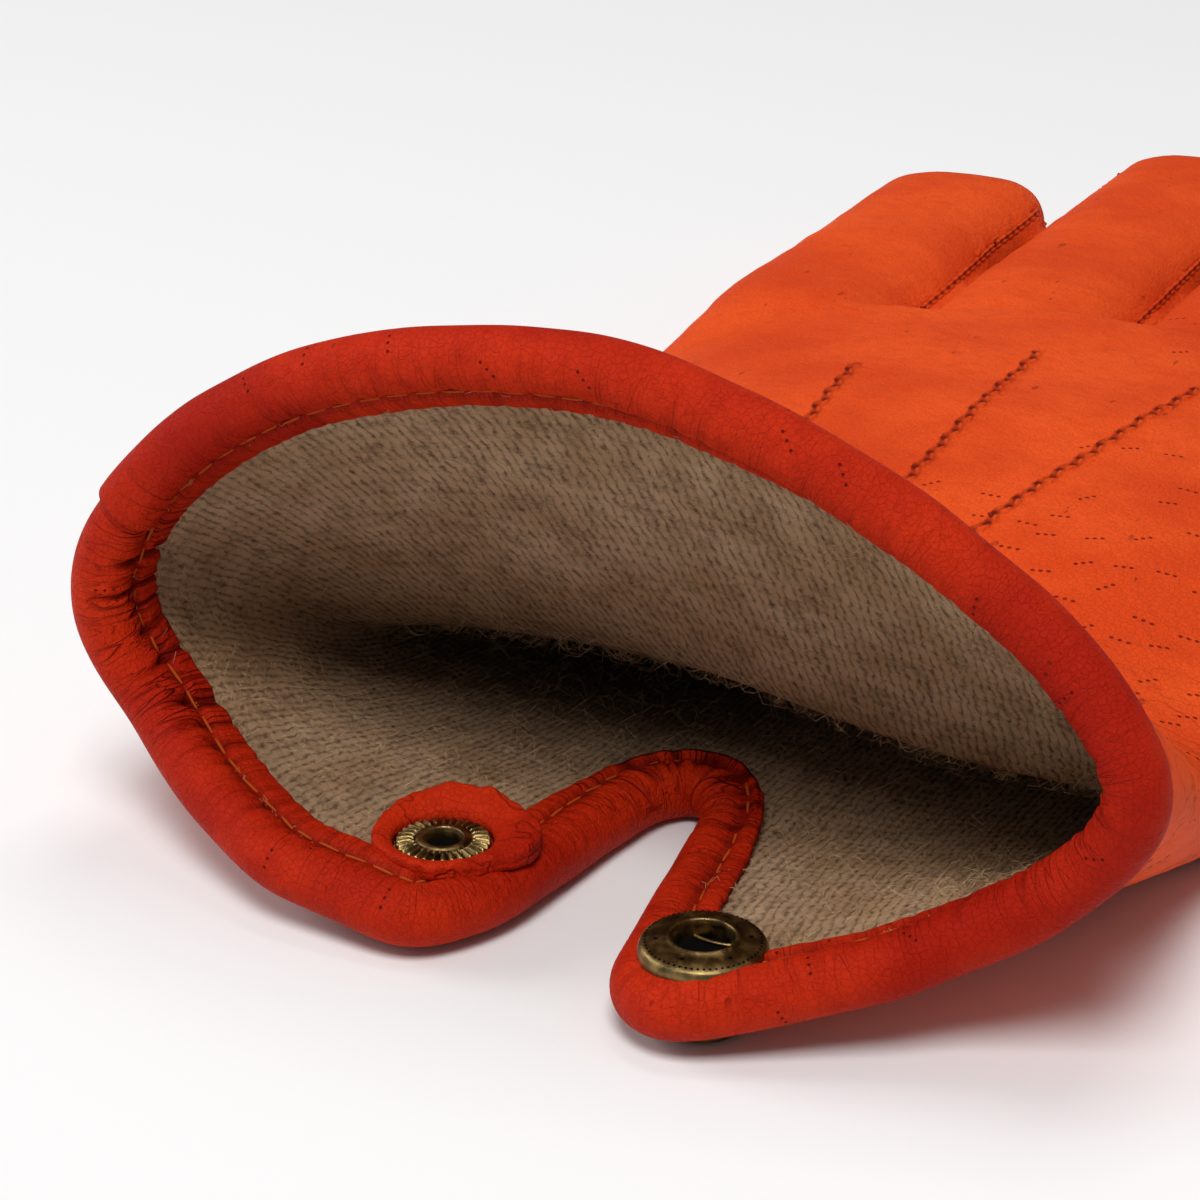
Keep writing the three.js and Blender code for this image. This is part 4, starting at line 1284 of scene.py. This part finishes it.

# Black discs in the socket's and the eyelet's holes and the black beads are painted shade; six small marks are black
# too.
shape = bmesh.new()
disc(shape, SOCKET_AT, 2.85, socket_foot + 0.7)
disc(shape, STUD_AT, 1.9, seat - 0.3)
BEADS = 60
MARKS = 6
for count, radius, size, height in ((BEADS, 5.05, 0.15, 2.04), (MARKS, 4.1, 0.3, 2.2)):
    for k in range(count):
        turn = 2 * math.pi * (k + 0.5) / count
        made = bmesh.ops.create_icosphere(shape, subdivisions=1, radius=size)["verts"]
        bmesh.ops.scale(shape, verts=made, vec=(1, 1, 0.5))
        place = SOCKET_AT + Vector((radius * math.cos(turn), radius * math.sin(turn), socket_foot + height))
        bmesh.ops.translate(shape, verts=made, vec=place)
finish_piece("snap_hollows", shape, hollow_shade_and_marks, "antique_brass")


SPRING_REACH = 1.9
SPRING_RADIUS = 0.19


def wire(shape, points, radius):
    points = even(points, 40)
    ahead = unit(np.gradient(points, axis=0))
    up = np.array([0, 0, 1.0])
    side = unit(np.cross(ahead, up))
    angle = np.linspace(0, 2 * math.pi, 8, endpoint=False)[None, :, None]
    tube = net(points[:, None] + radius * (side[:, None] * np.cos(angle) + up * np.sin(angle)))
    close_ends(tube)
    add_mesh(shape, to_mesh(tube, "wire"))


shape = bmesh.new()
for side in (-1, 1):
    line = [SOCKET_AT + Vector((x, side * (1.75 + 0.5 * (x / 2.4) ** 2), socket_foot + 0.9))
            for x in np.linspace(-SPRING_REACH, SPRING_REACH, 15)]
    wire(shape, [tuple(p) for p in line], SPRING_RADIUS)
finish_piece("socket_springs", shape, snap_brass, "antique_brass")

# %% The stud and the cap under the flaps
cap_high = heights("snap_cap")[1]
post_top = cap_high - 1.2
profile = rounded([(0.02, 0.0), (3.0, 0.05), (3.9, 0.35), (4.2, 0.9), (4.0, 1.4), (1.3, 1.4),
                   (1.3, post_top), (0.02, post_top)])
turned_piece("cap", turned(profile, SOCKET_AT, 96), snap_brass, "antique_brass", "snap_cap")
stud_top = heights("snap_stud")[1]
profile = rounded([(0.02, 0.0), (2.1, 0), (2.6, 0.3), (2.4, stud_top - 0.6), (4.6, stud_top - 0.5),
                   (4.6, stud_top), (0.02, stud_top)])
turned_piece("stud", turned(profile, STUD_AT, 96), snap_brass, "antique_brass", "snap_stud")

# %% [markdown]
# ## Floor, light and camera
#
# The photograph is a studio shot on white: light comes from everywhere, most of it from above the open cuff, and
# the shadows are soft. The camera looks down a long lens from in front of the cuff.
# Places and sizes of the lights are in metres, their power is in watts.

# %% A pale floor under an even light
shape = bmesh.new()
bmesh.ops.create_grid(shape, x_segments=1, y_segments=1, size=4)
mesh = to_mesh(shape, "floor")
recipe = Recipe("floor")
mesh.materials.append(recipe.finish(Base_Color=(0.86, 0.86, 0.86, 1), Roughness=0.9, Specular_IOR_Level=0.0))
floor = bpy.data.objects.new("floor", mesh)
scene.collection.objects.link(floor)

world = bpy.data.worlds.new("studio")
world.use_nodes = True
world.node_tree.nodes["Background"].inputs["Color"].default_value = (1, 1, 1, 1)
world.node_tree.nodes["Background"].inputs["Strength"].default_value = 0.19
scene.world = world
scene.view_settings.view_transform = "Standard"


def softbox(name, place, aim, size, power_watts):
    data = bpy.data.lights.new(name, "AREA")
    data.shape = "RECTANGLE"
    data.size, data.size_y = size
    data.energy = power_watts
    lamp = bpy.data.objects.new(name, data)
    lamp.location = place
    lamp.rotation_euler = (Vector(aim) - Vector(place)).to_track_quat("-Z", "Y").to_euler()
    scene.collection.objects.link(lamp)


softbox("top", (0.05, 0.4, 1.55), (0, 0, 0), (0.7, 0.7), 5.5)
softbox("front", (0.25, -0.8, 1.4), (0, -0.1, 0.03), (0.6, 0.6), 18)
softbox("left", (-1.2, -0.3, 0.55), (0, -0.1, 0.03), (0.6, 0.5), 6)

# %% The camera
CAMERA_AT = Vector((125.94, -225.66, 153.95))
CAMERA_AIM = Vector((-22.28, 53.10, 13.39))
camera_data = bpy.data.cameras.new("camera")
camera_data.lens = 102
camera_data.sensor_width = 36
camera_data.clip_start = 0.01
camera = bpy.data.objects.new("camera", camera_data)
camera.location = (CAMERA_AT - CENTRE) * MM
camera.rotation_euler = (CAMERA_AIM - CAMERA_AT).to_track_quat("-Z", "Y").to_euler()
scene.collection.objects.link(camera)
scene.camera = camera
